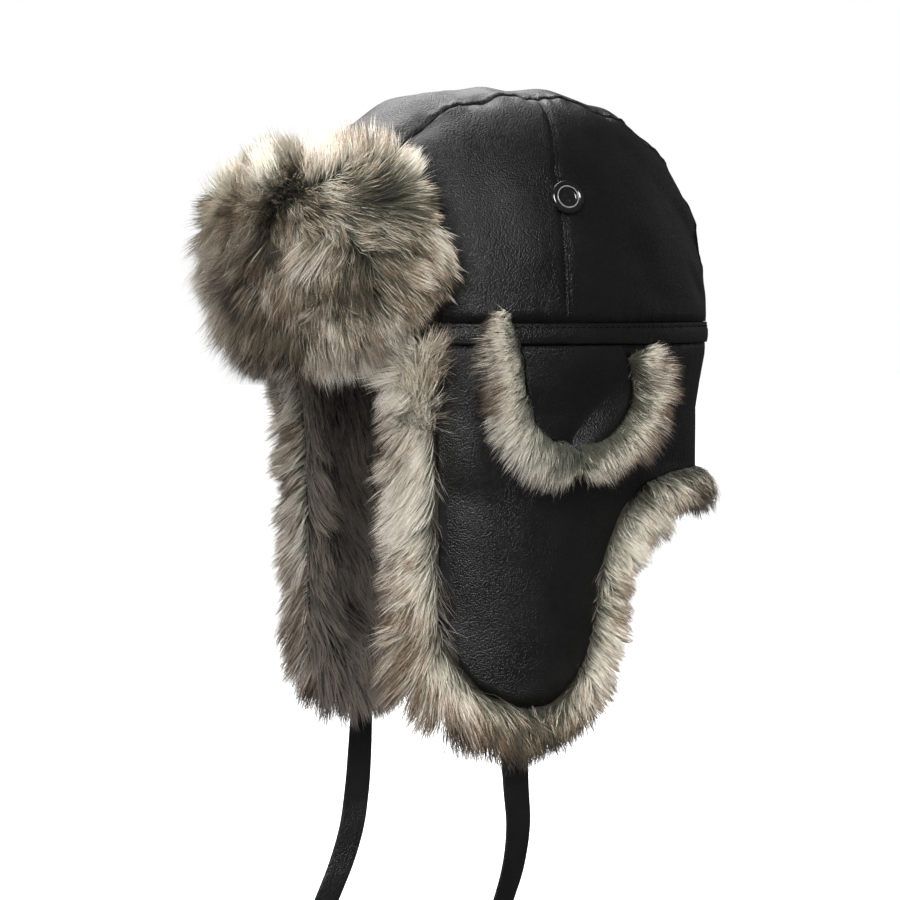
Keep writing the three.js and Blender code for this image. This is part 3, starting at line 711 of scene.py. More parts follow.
def stitch_row(name, points, normals, pitch, length, radius):
    """A row of short rounded stitches along a path of points, lying on its surface."""
    steps = np.linalg.norm(np.diff(points, axis=0), axis=1)
    run = np.concatenate([[0], np.cumsum(steps)])
    count = int(run[-1] // pitch)
    middles = (np.arange(count) + 0.5) * run[-1] / count
    pick = lambda values, s: np.stack([np.interp(s, run, values[:, k]) for k in range(3)], -1)
    centre, normal = pick(points, middles), unit(pick(normals, middles))
    along = unit(pick(points, middles + 0.3) - pick(points, middles - 0.3))
    side = unit(np.cross(normal, along))
    verts = []
    for at, thick, lift in STITCH_LEVELS:
        for k in range(STITCH_SIDES):
            turn = 2 * np.pi * k / STITCH_SIDES
            aside = side * (radius * thick * math.cos(turn))
            above = normal * (radius * (lift + 0.2 + 0.8 * thick * math.sin(turn)))
            verts.append(centre + along * (at * length) + aside + above)
    verts = np.stack(verts, 1)
    quads, _ = hoop_quads(len(STITCH_LEVELS), STITCH_SIDES)
    quads = np.concatenate([quads, hoop_caps(len(STITCH_LEVELS), STITCH_SIDES)])
    quads = quads[None] + np.arange(count)[:, None, None] * verts.shape[1]
    place(make_mesh(name, verts.reshape(-1, 3), [quads.reshape(-1, 4)], [THREAD]), "leather")


def seam_stitches():
    z = np.linspace(12, 112, 200)
    line = seam_y(z) - STITCHES_FROM_SEAM
    t = halved(np.full(len(z), -30.0), np.full(len(z), 30.0), lambda t: dome_at(t, z)[:, 1] < line)
    point = dome_at(t, z)
    path, normal = crown_surface(point, True), dome_normal(point)
    for hand, side, _ in HANDS:
        stitch_row(f"side_seam_stitches_{hand}", side(path), side(normal), 2.2, 1.25, 0.42)


seam_stitches()


# Band


def band_out(t, level, point):
    puff = 0.95 * np.sin(np.pi * np.clip(level, 0.03, 0.97)) ** 0.55 * (1.15 - 0.4 * level)
    gather = 0.2 * ripple(along_wall(t), 7.5, 3 * patches(point, 22, 13)) * bell(level - 0.75, 0.25)
    return puff - 0.45 * bell(level - 0.78, 0.09) + gather + 0.5 * (patches(point, 30, 14) - 0.5)


def build_band():
    t, level = grid(np.arange(0, 360, 1.5), np.linspace(0, 1, 11))
    z = lerp(BAND_LOW, BAND_HIGH, level)
    outer = wall_point(t, z, band_out(t, level, wall_point(t, z)))
    inner = wall_point(t, z, np.full(t.shape, -CROWN_WALL))
    place(wall_piece("band_leather", outer, inner, LINED, True), "leather", "hat_band")
    turns = np.linspace(0, 360, 721)
    level = np.full(turns.shape, 0.8)
    z = lerp(BAND_LOW, BAND_HIGH, level)
    path = wall_point(turns, z, band_out(turns, level, wall_point(turns, z)))
    stitch_row("band_stitches", path, wall_normal(turns), 3.4, 2.3, 0.3)


build_band()


# Ear flaps and neck guard


FLAP_FOLDS = [
    # t0, z0, t1, z1, width, depth
    (-38, -72, -20, -88, 6, 1.5),
    (-34, -46, -27, -100, 7, -1.2),
    (-20, -92, -6, -98, 7, 1.0),
    (20, -30, 38, -48, 7, 1.6),
    (14, -62, 40, -60, 6, 1.4),
    (-38, -128, -26, -146, 6, 1.0),
]


def flap_relief(point, t, z):
    turn, below = on_left(t), FLAP_TOP - z
    soft = 1.0 * (patches(point, 40, 21) - 0.5) + 0.4 * (patches(point, 16, 22) - 0.5)
    rolled = 2.6 * bell(along_wall(turn - FLAP_FRONT), 11)
    lying = (soft - rolled - fold_depth(FLAP_FOLDS, turn, z, along_wall(1))) * hang_at(z)
    front = 3.8 * np.sin(np.pi * np.clip(below / 72, 0, 1)) * (1 - smooth(turn, -34, -18))
    rear = 1.2 * np.sin(np.pi * np.clip(below / 60, 0, 1)) * smooth(turn, 14, 24) * (1 - smooth(turn, 40, 60))
    gather = 0.3 * ripple(along_wall(t), 9, 3 * patches(point, 24, 23)) * bell(below, 14)
    return lying + front + rear - 0.9 * bell(below, 3) + gather


def build_ear_flaps():
    near = np.concatenate([np.linspace(FLAP_FRONT, 24, 62), np.linspace(26, 88, 26)])
    turns = np.concatenate([near, [90], 180 - near[::-1]])
    t, row = grid(turns, np.concatenate([np.linspace(0, 1, 12), np.linspace(1, 4, 24)[1:]]))
    z = flap_height(t, row, FLAP_TOP)
    wave = flap_wave(t, z)
    plain = wall_point(t, z, wave)
    outer = plain + wall_normal(t) * flap_relief(plain, t, z)[..., None]
    inner = wall_point(t, z, wave - LEATHER)
    place(wall_piece("ear_flap_leather_wall", outer, inner, LINED), "leather", "ear_flap_leather")


build_ear_flaps()


# Side flaps on the band

SIDE_FLAP = table(
    [
        (-3.2, -20, 7, 1), (-8, -18.8, 9, 2.8), (-16, -18.5, 10.3, 4.2), (-24, -18.2, 10.4, 5),
        (-33, -17.2, 9.2, 5), (-41, -15.3, 6.6, 5), (-48, -12, 2.8, 4.8), (-53, -8.4, -2, 4.6),
    ],
    "z front back out",
)
SIDE_TOP, SIDE_LOW = -3.2, -53


def side_flap_at(z, key):
    spread = (-2, -1, 0, 1, 2)
    down = -SIDE_FLAP["z"]
    return sum(np.interp(-z + s, down, SIDE_FLAP[key]) for s in spread) / len(spread)


def side_flap_point(part, z, out):
    t = lerp(side_flap_at(z, "front"), side_flap_at(z, "back"), part)
    return wall_point(t, z, side_flap_at(z, "out") + out + flap_wave(t, z)), t


def build_side_flaps():
    part, z = grid(np.linspace(0, 1, 32), np.linspace(SIDE_TOP, SIDE_LOW, 34))
    outer, t = side_flap_point(part, z, LEATHER)
    ridge = (part - 0.88) * 50 - (z + 36) * 0.75  # mm from a slanting fold near the back edge
    fold = (3.8 * smooth(ridge, -15, 9) - 0.5 * bell(ridge + 14, 6)) * smooth(-z, 8, 34)
    relief = fold + 0.7 * (patches(outer, 22, 31) - 0.5) * smooth(-z, 4, 14)
    outer = outer + wall_normal(t) * relief[..., None]
    inner, _ = side_flap_point(part, z, 0)
    for hand, side, _ in HANDS:
        wall = wall_piece(f"side_flap_wall_{hand}", side(outer), side(inner), LINED)
        place(wall, "leather", f"side_flap_leather_{hand}")


build_side_flaps()


# Visor's leather back


def build_visor_leather():
    t, level = grid(np.linspace(-45, -135, 46), np.linspace(0, 1, 22))
    away = np.abs(t - FRONT)
    z = lerp(-1 + 22 * smooth(away, 32, 46), VISOR_TOP - 16 * smooth(away, 30, 46), level)
    relief = 0.5 * (patches(visor_point(t, z, np.zeros(t.shape)), 24, 41) - 0.5)
    outer = visor_point(t, z, LEATHER + np.zeros(t.shape))
    inner = visor_point(t, z, np.maximum(relief, -0.2))
    place(wall_piece("visor_back", outer, inner, [LEATHER_MATERIAL]), "leather", "visor_leather")


build_visor_leather()


# Fur. A field is a grid of places on the skin. Its keys are p, the point; n, the skin's normal; d0, the way the
# hair leaves the skin; d1, the way its tips point; l, its length; w, how thick it grows; k, how pale it is; v and
# e, where it starts in its colours and over how much of them it runs; and s, a shift of both.


def field_of(points, normals, leave, point_to, length, weight, tone, start=0.0, shift=0.0, extent=1.0):
    """A hair runs through its colours from start over extent; shift moves them towards the tip's."""
    vectors = {"p": points, "n": unit(normals), "d0": unit(leave), "d1": unit(point_to)}
    numbers = {"l": length, "w": weight, "k": tone, "v": start, "s": shift, "e": extent}
    return vectors | {key: np.broadcast_to(v, points.shape[:2]).astype(float) for key, v in numbers.items()}


def sampled(field, count):
    """Random places on a field, spread by area and weight."""
    p, w = field["p"], field["w"]
    a, b, c, d = p[:-1, :-1], p[1:, :-1], p[1:, 1:], p[:-1, 1:]
    area = 0.5 * np.linalg.norm(np.cross(c - a, d - b), axis=-1)
    weight = area * (w[:-1, :-1] + w[1:, :-1] + w[1:, 1:] + w[:-1, 1:]) / 4
    steps = np.cumsum(weight.ravel())
    cell = np.searchsorted(steps, rng.random(count) * steps[-1])
    i, j = np.unravel_index(np.minimum(cell, weight.size - 1), weight.shape)
    u, v = rng.random(count), rng.random(count)
    out = {}
    for key, values in field.items():
        x, y = (u, v) if values.ndim == 2 else (u[:, None], v[:, None])
        low = values[i, j] * (1 - x) + values[i + 1, j] * x
        high = values[i, j + 1] * (1 - x) + values[i + 1, j + 1] * x
        out[key] = low * (1 - y) + high * y
    return out


def swirl(points, size, seed):
    """Soft random vectors that vary over that size."""
    return np.stack([patches(points, size, seed + k) - 0.5 for k in range(3)], -1) * 2


def nearest(places, centres):
    tree = KDTree(len(centres))
    for k, co in enumerate(centres):
        tree.insert(co, k)
    tree.balance()
    return np.array([tree.find(co)[1] for co in places])


# Levels along a strand, and its width at all but the last
LONG = ((0.0, 0.36, 0.7, 1.0), (1.0, 0.9, 0.6))
SHORT = ((0.0, 0.55, 1.0), (1.0, 0.8))


def bent(place_at, d0, d1, length, levels):
    """Points along hairs that leave along d0 and turn to d1."""
    early = np.array([s - s * s / 2 for s in levels])[None, :, None]
    late = np.array([s * s / 2 for s in levels])[None, :, None]
    return place_at[:, None] + length[:, None, None] * (d0[:, None] * early + d1[:, None] * late)


def grow(
    name, fields, width=0.4, clump=6, tuft=36, pull=0.5, gather=0.4, wild=0.2, loose=0.12, stray=0.1,
    turbulence=1.0, mottle=0.6, streak=0.1, seed=61, shape=LONG, material=None,
):
    """One mesh of strands over fields, given as (field, count) pairs. Each strand is a narrow tapered ribbon.
    Strands gather towards the lead of their lock, and locks towards the lead of their tuft."""
    levels, widths = shape
    tones, curves, shades = [], [], []
    ease = np.array([s**1.4 for s in levels])[None, :, None]
    for field, count in fields:
        hair = sampled(field, count)
        lead = sampled(field, max(count // clump, 4))
        head = sampled(field, max(count // (clump * tuft), 4))
        which, whose = nearest(hair["p"], lead["p"]), nearest(lead["p"], head["p"])
        lean = 0.6 * turbulence * swirl(head["p"], 26, seed) + rng.normal(0, wild, head["p"].shape)
        head_d0, head_d1 = unit(head["d0"] + 0.6 * lean), unit(head["d1"] + lean)
        head_long = rng.uniform(0.84, 1.16, len(lean))
        head_line = bent(head["p"], head_d0, head_d1, head["l"] * head_long, levels)
        head_kind, head_shift = rng.normal(0, 0.1, len(lean)), rng.normal(0, 0.05, len(lean))
        lean = 0.4 * turbulence * swirl(lead["p"], 10, 71) + rng.normal(0, wild * 0.8, lead["p"].shape)
        lead_d0 = unit(lerp(lead["d0"], head_d0[whose], 0.6) + 0.5 * lean)
        lead_d1 = unit(lerp(lead["d1"], head_d1[whose], 0.7) + lean)
        lead_long = rng.uniform(0.84, 1.12, len(lean)) * head_long[whose]
        lead_line = bent(lead["p"], lead_d0, lead_d1, lead["l"] * lead_long, levels)
        lead_line = lerp(lead_line, head_line[whose], gather * rng.uniform(0.5, 1.1, len(lean))[:, None, None] * ease)
        lead_kind = head_kind[whose] + rng.normal(0, streak, len(lean))
        lead_shift = head_shift[whose] + rng.normal(0, 0.035, len(lean))
        own = rng.normal(0, loose, hair["p"].shape)
        free = rng.random(count) < stray
        own[free] *= 2.6
        d0 = unit(lerp(hair["d0"], lead_d0[which], 0.6) + own)
        d1 = unit(lerp(hair["d1"], lead_d1[which], 0.7) + own)
        length = hair["l"] * lead_long[which] * rng.uniform(0.58, 1.08, count) * np.where(free, 1.12, 1.0)
        held = np.where(free, 0.15, pull) * rng.uniform(0.6, 1.1, count)
        line = lerp(bent(hair["p"], d0, d1, length, levels), lead_line[which], held[:, None, None] * ease)
        twist = rng.normal(0, 0.35, count)
        wide = width * rng.uniform(0.6, 1.25, count) * np.where(free, 0.5, 1.0)
        rows = []
        for k, share in enumerate(widths):
            tangent = unit(line[:, k + 1] - line[:, max(k - 1, 0)])
            side = unit(np.cross(tangent, hair["n"]))
            lift = np.cross(side, tangent)
            side = side * np.cos(twist)[:, None] + lift * np.sin(twist)[:, None]
            half = side * (wide * share / 2)[:, None]
            rows += [line[:, k] - half, line[:, k] + half]
        rows.append(line[:, -1])
        curves.append(np.stack(rows, 1))
        skin = hair["n"][:, None]
        lift = unit(skin * 0.9 + unit(skin + 0.6 * (line - line[:, :1]) / length[:, None, None]))
        shades.append(lift[:, np.repeat(np.arange(len(levels)), 2)[:-1]])
        patch = patches(hair["p"], 27, 3) + 0.7 * patches(hair["p"], 12, 4) - 0.85
        kind = np.clip(hair["k"] + mottle * patch + lead_kind[which] + rng.normal(0, 0.12, count), 0.01, 0.99)
        shift = hair["s"] + lead_shift[which] + 0.14 * (patches(hair["p"], 21, 6) - 0.5) + rng.normal(0, 0.06, count)
        along = np.array(np.repeat(levels[:-1], 2).tolist() + [1.0])[None, :] * 0.96 + 0.02
        v = np.clip((hair["v"] + shift)[:, None] + hair["e"][:, None] * along, 0.01, 0.99)
        tones.append(np.stack([np.broadcast_to(kind[:, None], v.shape), v], -1))
    points, uv = np.concatenate(curves), np.concatenate(tones)
    corners = 2 * len(widths) + 1
    base = np.arange(len(points))[:, None] * corners
    faces = [np.concatenate([base + [2 * k, 2 * k + 1, 2 * k + 3, 2 * k + 2] for k in range(len(widths) - 1)])]
    faces.append(base + [corners - 3, corners - 2, corners - 1])
    piece = make_mesh(name, points.reshape(-1, 3), faces, [material or STRANDS], uv=uv.reshape(-1, 2))
    piece.data.normals_split_custom_set_from_vertices(np.concatenate(shades).reshape(-1, 3).tolist())
    place(piece, "fur")


def undercoat(name, parts, node, side=unchanged, voxel=0.0036):
    """Closed shells fused into one soft body under the strands. A part starts with its points and quads."""
    points, quads, start = [], [], 0
    for part in parts:
        points.append(side(part[0]))
        quads.append(part[1] + start)
        start += len(part[0])
    rough = make_mesh(name + "_rough", np.concatenate(points), [np.concatenate(quads)], [UNDERCOAT])
    remesh = rough.modifiers.new("fuse", "REMESH")
    remesh.mode = "VOXEL"
    remesh.voxel_size = voxel
    remesh.use_smooth_shade = True
    relax = rough.modifiers.new("relax", "SMOOTH")
    relax.factor = 0.5
    relax.iterations = 3
    evaluated = rough.evaluated_get(bpy.context.evaluated_depsgraph_get())
    mesh = bpy.data.meshes.new_from_object(evaluated)
    mesh.name = name
    mesh.materials.clear()
    mesh.materials.append(UNDERCOAT)
    bpy.data.objects.remove(rough)
    mesh.shade_smooth()
    place(add_object(name, mesh), "fur", node)


def tube(centres, radii, sides=12):
    """A closed soft tube along a path, as points and quads."""
    tangent = unit(np.gradient(centres, axis=0))
    outward = wall_normal(np.degrees(np.arctan2(centres[:, 1] / HEAD_Y, centres[:, 0] / HEAD_X)))
    across = unit(np.cross(tangent, outward))
    outward = unit(np.cross(across, tangent))
    turn = np.linspace(0, 2 * np.pi, sides, endpoint=False)
    ring = outward[:, None] * np.cos(turn)[None, :, None] + across[:, None] * np.sin(turn)[None, :, None]
    points = centres[:, None] + ring * np.asarray(radii)[:, None, None]
    quads, _ = hoop_quads(len(centres), sides)
    return points.reshape(-1, 3), np.concatenate([quads, hoop_caps(len(centres), sides)])


def spread_path(rows, steps):
    """Values of a table's columns at even steps on a smooth curve through its rows."""
    rows = np.array(rows, float)
    n = len(rows)
    at = np.linspace(0, n - 1, steps)
    low = np.minimum(at.astype(int), n - 2)
    f = (at - low)[:, None]
    p0, p1 = rows[np.maximum(low - 1, 0)], rows[low]
    p2, p3 = rows[low + 1], rows[np.minimum(low + 2, n - 1)]
    return 0.5 * (2 * p1 + (p2 - p0) * f + (2 * p0 - 5 * p1 + 4 * p2 - p3) * f**2 + (3 * p1 - p0 - 3 * p2 + p3) * f**3)


def roll_field(rows, steps, length, tone, inner_tone, band=(0.3, 0.8), lined=-0.3, shift=0.0, rim=0.16):
    """Hair on a soft roll along an edge, from the leather out over the roll. Rows give t, z, out, radius, the
    comb along the wall, outwards and up, the hair's share of the length and its reach over the leather."""
    t, z, out, radius, aside, outwards, upwards, share, over = spread_path(rows, steps).T
    centres = wall_point(t, z, out + flap_wave(t, z))
    combs = unit(wall_along(t) * aside[:, None] + wall_normal(t) * outwards[:, None] + UP * upwards[:, None])
    tangent = unit(np.gradient(centres, axis=0))
    normal = wall_normal(t)
    outward = unit(normal - tangent * np.einsum("ik,ik->i", normal, tangent)[:, None])
    away = np.cross(tangent, outward)
    turn = np.linspace(0, 2 * np.pi, 33)
    sine, cosine = np.sin(turn)[None, :], np.cos(turn)[None, :]
    ring = outward[:, None] * cosine[..., None] + away[:, None] * sine[..., None]
    reach = np.where(sine < 0, over[:, None], radius[:, None])
    across = outward[:, None] * (cosine * radius[:, None])[..., None]
    points = centres[:, None] + across + away[:, None] * (sine * reach)[..., None]
    comb = np.broadcast_to(combs[:, None], points.shape)
    ahead = smooth(sine, -1, 0.4)[..., None]
    inside = np.broadcast_to(smooth(-cosine, lined, lined + 0.5), points.shape[:2])[..., None]
    raised = outward[:, None] * (0.4 - 0.28 * ahead) * (1 - inside)
    leave = ring * (rim + (0.5 - rim) * ahead) + comb * (0.4 + 0.05 * ahead) + raised
    leave = lerp(leave, ring * 0.6 - UP * 0.5, inside)
    point_to = lerp(comb * (0.85 + 0.2 * ahead) + ring * (0.06 + 0.16 * ahead), ring * 0.2 - UP, inside)
    length = length * share[:, None] * (0.85 + 0.15 * ahead[..., 0])
    tone, shift = np.reshape(tone, (-1, 1)), np.reshape(shift, (-1, 1))

    def part_of(weight, *colours):
        return field_of(points, ring, leave, point_to, length, weight, *colours)

    outside = part_of(1 - inside[..., 0], tone, band[0] * (sine + 1) / 2, shift, band[1])
    return outside, part_of(0.7 * inside[..., 0], inner_tone), (centres, radius)


FLAP_ROLL = [
    # t, z, out, radius, comb along, out, up, share of length, reach over the leather
    (LINING_FRONT, -6, -1, ROLL, -0.5, 0.3, 0.1, 1, 6.5),
    (LINING_FRONT, -24, -1, ROLL, -0.7, 0.3, -0.5, 1, 6.8),
    (LINING_FRONT, -54, -1, ROLL, -0.8, 0.3, -0.65, 1, 6.8),
    (LINING_FRONT, -80, -1, ROLL, -0.8, 0.25, -0.75, 1, 7),
    (LINING_FRONT, -118, -1, ROLL, -0.75, 0.2, -0.85, 1, 8),
    (-46.8, -147, -1, ROLL, -0.45, 0.15, -1, 1.15, 9),
    (-39.5, -168, -1, ROLL, 0.0, 0.1, -1, 1.3, 8.5),
    (-29, -181, -1, ROLL, 0.4, 0.1, -0.95, 1.15, 8),
    (-16, -186, -1, 5.8, 0.25, 0.1, -1, 0.85, 7),
    (-6, -181.5, -1, 5.2, -0.1, 0.12, -1, 0.75, 6),
    (1.4, -165.5, -1, 5, 0.35, 0.15, -0.95, 0.65, 5.5),
    (5, -142, -1, 5, 0.75, 0.15, -0.75, 0.55, 5.5),
    (7.4, -120, -1, 5.2, 0.85, 0.15, -0.65, 0.55, 5.5),
    (11.4, -101, -1, 5.8, 0.75, 0.15, -0.8, 0.6, 6),
    (FLAP_SPLIT - 2, -87, -1, ROLL, 0.6, 0.15, -0.8, 0.72, 7),
    (FLAP_SPLIT + 4, -80, -1, ROLL, 0.65, 0.15, -0.7, 0.75, 7.5),
]


def lining_grids(turns):
    """Turns with the lining's outer and inner surface."""
    face = -LEATHER - 2 * GAP
    t, row = grid(turns, np.linspace(0, 5, 26))
    thick = LINING * np.interp(row, [0, 1, 2, 3, 4, 5], [0.7, 1, 1, 1, 0.8, 0.6])
    z = flap_height(t, row, LINING_TOP)
    wave = flap_wave(t, z)
    return t, wall_point(t, z, face + wave), wall_point(t, z, face - thick + wave)


def lining_field(turns, length, weight, tone):
    t, _, inner = lining_grids(turns)
    inward = -wall_normal(t)
    ahead = (smooth(-38 - t, 0, 8) * 0.7)[..., None]
    leave = inward * 0.6 - UP * 0.8 - wall_along(t) * ahead
    point_to = inward * 0.28 - UP - wall_along(t) * ahead
    return field_of(inner, inward, leave, point_to, length, weight, tone)


TUFT_ROLL = [
    # the tuft at the edge's top end that lies up over the leather and the band
    (LINING_FRONT, -44, -1, ROLL, -0.1, 0.6, 0.35, 0.85, 5),
    (LINING_FRONT, -28, -1, ROLL, 0.3, 0.45, 0.75, 1, 5),
    (LINING_FRONT, -14, -1, ROLL, 0.5, 0.3, 0.9, 1, 6),
    (LINING_FRONT, -3, -1, ROLL, 0.55, 0.25, 0.95, 0.95, 7),
]


FLAP_STEPS = 100
FLAP_TUBE_STEPS = 93  # the undercoat's roll stops short of the neck guard's


def build_flap_fur():
    turns = np.linspace(LINING_FRONT + 0.5, FLAP_SPLIT, 30)
    at = np.linspace(0, 14, FLAP_STEPS)  # from the edge's top end to the neck guard
    tone = np.interp(at, [0, 4, 6, 7, 8, 9, 11, 13, 14], [1.0, 0.9, 0.54, 0.38, 0.34, 0.5, 0.9, 1.0, 0.7])
    shift = np.interp(at, [0, 2.5, 5, 8, 14], [0.02, 0.08, 0.1, 0, 0])
    outside, inside, (centres, radius) = roll_field(FLAP_ROLL, FLAP_STEPS, 22, tone, 0.45, lined=-0.5, shift=shift)
    parts = [shell(*lining_grids(turns)[1:]), tube(centres[:FLAP_TUBE_STEPS], radius[:FLAP_TUBE_STEPS])]
    tuft, _, _ = roll_field(TUFT_ROLL, 24, 25, 0.72, 0.6, shift=-0.2)
    lining = lining_field(turns, 20, 1, 0.35)
    for hand, side, turned in HANDS:
        undercoat(f"ear_flap_undercoat_{hand}", parts, f"ear_flap_fur_{hand}", side)
        grow(
            f"ear_flap_edge_strands_{hand}", [(turned(outside), 21500)], width=0.42, wild=0.18, turbulence=0.6,
            stray=0.06, mottle=0.72, streak=0.17,
        )
        grow(f"ear_flap_top_strands_{hand}", [(turned(tuft), 2600)], width=0.34, wild=0.34, loose=0.2, pull=0.4)
        # The lining and the roll's inside grow in the painted shade lining colours.
        grow(
            f"ear_flap_lining_strands_{hand}", [(turned(lining), 10500), (turned(inside), 6000)], width=0.55,
            gather=0.3, mottle=0.5, shape=SHORT, material=PAINTED_SHADE_LINING_STRANDS,
        )


build_flap_fur()


def build_neck_fur():
    turns = np.linspace(FLAP_SPLIT + 1, 180 - FLAP_SPLIT - 1, 46)
    route = []
    for t in np.linspace(FLAP_SPLIT + 2.5, 180 - FLAP_SPLIT - 2.5, 15):
        z = float(flap_bottom(np.array(t))) - ROLL - 1
        route.append((t, z, -1, ROLL, 0.3 * math.sin(t), 0.12, -1, 1, 7.8))
    outside, inside, (centres, radius) = roll_field(route, 70, 14, 0.62, 0.45)
    parts = [shell(*lining_grids(turns)[1:]), tube(centres, radius)]
    undercoat("neck_guard_undercoat", parts, "neck_guard_fur")
    lining = lining_field(turns, 20, 1, 0.35)
    grow("neck_guard_strands", [(outside, 11000)], width=0.42, wild=0.26, turbulence=1.2)
    # The neck lining grows in the painted shade lining colours.
    grow(
        "neck_lining_strands", [(lining, 8000), (inside, 3000)], width=0.55, gather=0.3, mottle=0.5, shape=SHORT,
        material=PAINTED_SHADE_LINING_STRANDS,
    )


build_neck_fur()


SIDE_ROLL = [
    # t, z, out, radius, comb along, out, up, share of length, reach over the leather
    (-23.4, 13, 3.4, 1.6, -0.8, 0.1, 0.9, 0.5, 3),
    (-24.8, 6, 5.0, 3.4, -0.9, 0.2, 0.5, 0.75, 6),
    (-24, -10, 6.9, 5.2, -1, 0.12, -0.15, 0.95, 8),
    (-22.6, -28, 7.6, 5.2, -1, 0.05, -0.25, 0.95, 8),
    (-20, -43.5, 7.6, 5.2, -0.8, 0.05, -0.6, 1.05, 8),
    (-14, -55, 7.6, 5, -0.4, 0.05, -1, 1.1, 8),
    (-8, -58.5, 7.6, 4.4, -0.5, 0.05, -1, 1.0, 8),
    (-5.2, -60, 7.0, 2.4, 0, 0.05, -1, 0.55, 5),
    (-2.4, -58, 7.6, 4.4, 0.5, 0.05, -1, 0.8, 8),
    (3.6, -55.5, 7.6, 5, 0.4, 0.05, -1, 0.9, 8),
    (10.5, -47, 7.6, 5.2, 0.8, 0.05, -0.65, 0.95, 8),
    (15, -32, 7.6, 5.2, 1, 0.05, -0.35, 0.95, 8),
    (15, -16, 7.2, 5.2, 1, 0.12, -0.1, 0.9, 8),
    (12.2, -6, 5.8, 4.2, 1, 0.2, 0.1, 0.8, 7),
]


SIDE_STEPS = 76
SIDE_TUBE_START = 5  # the undercoat's roll starts below the edge's thin top end


def build_side_flap_fur():
    part, z = grid(np.linspace(-0.2, 1.2, 16), np.linspace(-8, SIDE_LOW, 16))
    outer, _ = side_flap_point(part, z, -GAP)
    inner, _ = side_flap_point(part, z, 1 - side_flap_at(z, "out"))
    at = np.linspace(0, len(SIDE_ROLL) - 1, SIDE_STEPS)
    shifts = [0.02, 0, -0.2, -0.27, 0.0, -0.24, -0.15, 0.0, 0.02]
    shift = np.interp(at, [0, 4, 5, 6.4, 7, 7.6, 9, 10, 13], shifts)
    tone = np.interp(at, [0, 3, 5, 7, 8.5, 10, 13], [0.52, 0.52, 0.78, 0.5, 0.46, 0.3, 0.34])
    outside, inside, (centres, radius) = roll_field(
        SIDE_ROLL, SIDE_STEPS, 15, tone, 0.3, band=(0.5, 0.52), shift=shift, rim=0.36
    )
    parts = [shell(outer, inner), tube(centres[SIDE_TUBE_START:], radius[SIDE_TUBE_START:])]
    for hand, side, turned in HANDS:
        undercoat(f"side_flap_undercoat_{hand}", parts, f"side_flap_fur_{hand}", side, 0.0025)
        grow(
            f"side_flap_strands_{hand}", [(turned(outside), 11500), (turned(inside), 1000)], width=0.35, pull=0.35,
            gather=0.28, wild=0.13, turbulence=0.5, mottle=0.6, streak=0.09, loose=0.15, material=TRIM_STRANDS,
        )


build_side_flap_fur()


# Visor's fur

VISOR_ENDS = (-39.2, -140.8)
WHORL = {"t": -62, "z": 52}
VISOR_TONES = [
    # t, z, half width in degrees, half height, how much paler
    (-61, 42, 5, 8, 0.36),
    (-43, 42, 4, 16, 0.4),
    (-49, 17, 6, 7, 0.25),
    (-51, 68, 7, 11, -0.2),
    (-54, 52, 7, 8, -0.3),
    (-84, 6, 18, 13, 0.08),
    (-60, 4, 9, 12, 0.12),
    (-68, 90, 20, 10, 0.45),
    (-86, 76, 10, 12, 0.2),
    (-40, 84, 7, 12, -0.3),
    (-114, 38, 13, 38, 0.75),
    (-67, 72, 7, 10, 0.3),
    (-91, 91, 7, 8, -0.2),
    (-45, 94, 6, 7, -0.2),
    (-52, 30, 12, 10, -0.05),
    (-110, 20, 6, 20, 0.2),
    (-96, 60, 12, 18, 0.12),
]
VISOR_SHIFTS = [
    # t, z, half width, half height, how far towards the tip's colours
    (-51, 68, 8, 11, -0.25),
    (-68, 62, 5, 8, -0.08),
    (-56, 52, 6, 9, -0.15),
    (-86, 52, 14, 22, 0.08),
    (-66, 92, 30, 10, 0.16),
    (-98, 58, 10, 16, 0.15),
]


def blobs(rows, t, z):
    return sum(much * bell(t - at_t, wide) * bell(z - at_z, high) for at_t, at_z, wide, high, much in rows)


def visor_comb(t, level, skin, normals):
    """Where the tips point: down below, up at the top, with a swirl on each side."""
    turn = t - FRONT
    angle = np.radians(lerp(-84, 76, smooth(level, 0.6, 0.99)))
    lean = 2 * smooth(turn, -34, -12) - 1
    sideways = 0.2 * lean + 0.8 * np.cos(angle) + 0.5 * smooth(turn, 14, 44) - 0.45 * smooth(-turn, 14, 44)
    comb = UP * np.sin(angle)[..., None] + wall_along(t) * sideways[..., None]
    for side in (1, -1):
        centre = pile_point(np.array(FRONT + side * (WHORL["t"] - FRONT)), np.array(0.5), np.array(1.0))
        centre[2] = WHORL["z"]
        from_centre = skin - centre
        far = np.linalg.norm(from_centre, axis=-1)
        curl = np.cross(normals, unit(from_centre)) * (-side)
        pull = bell(far, 19) * smooth(far, 0, 9) * smooth(turn * side, -10, 6)
        comb = comb + curl * (0.75 * pull)[..., None]
    return comb


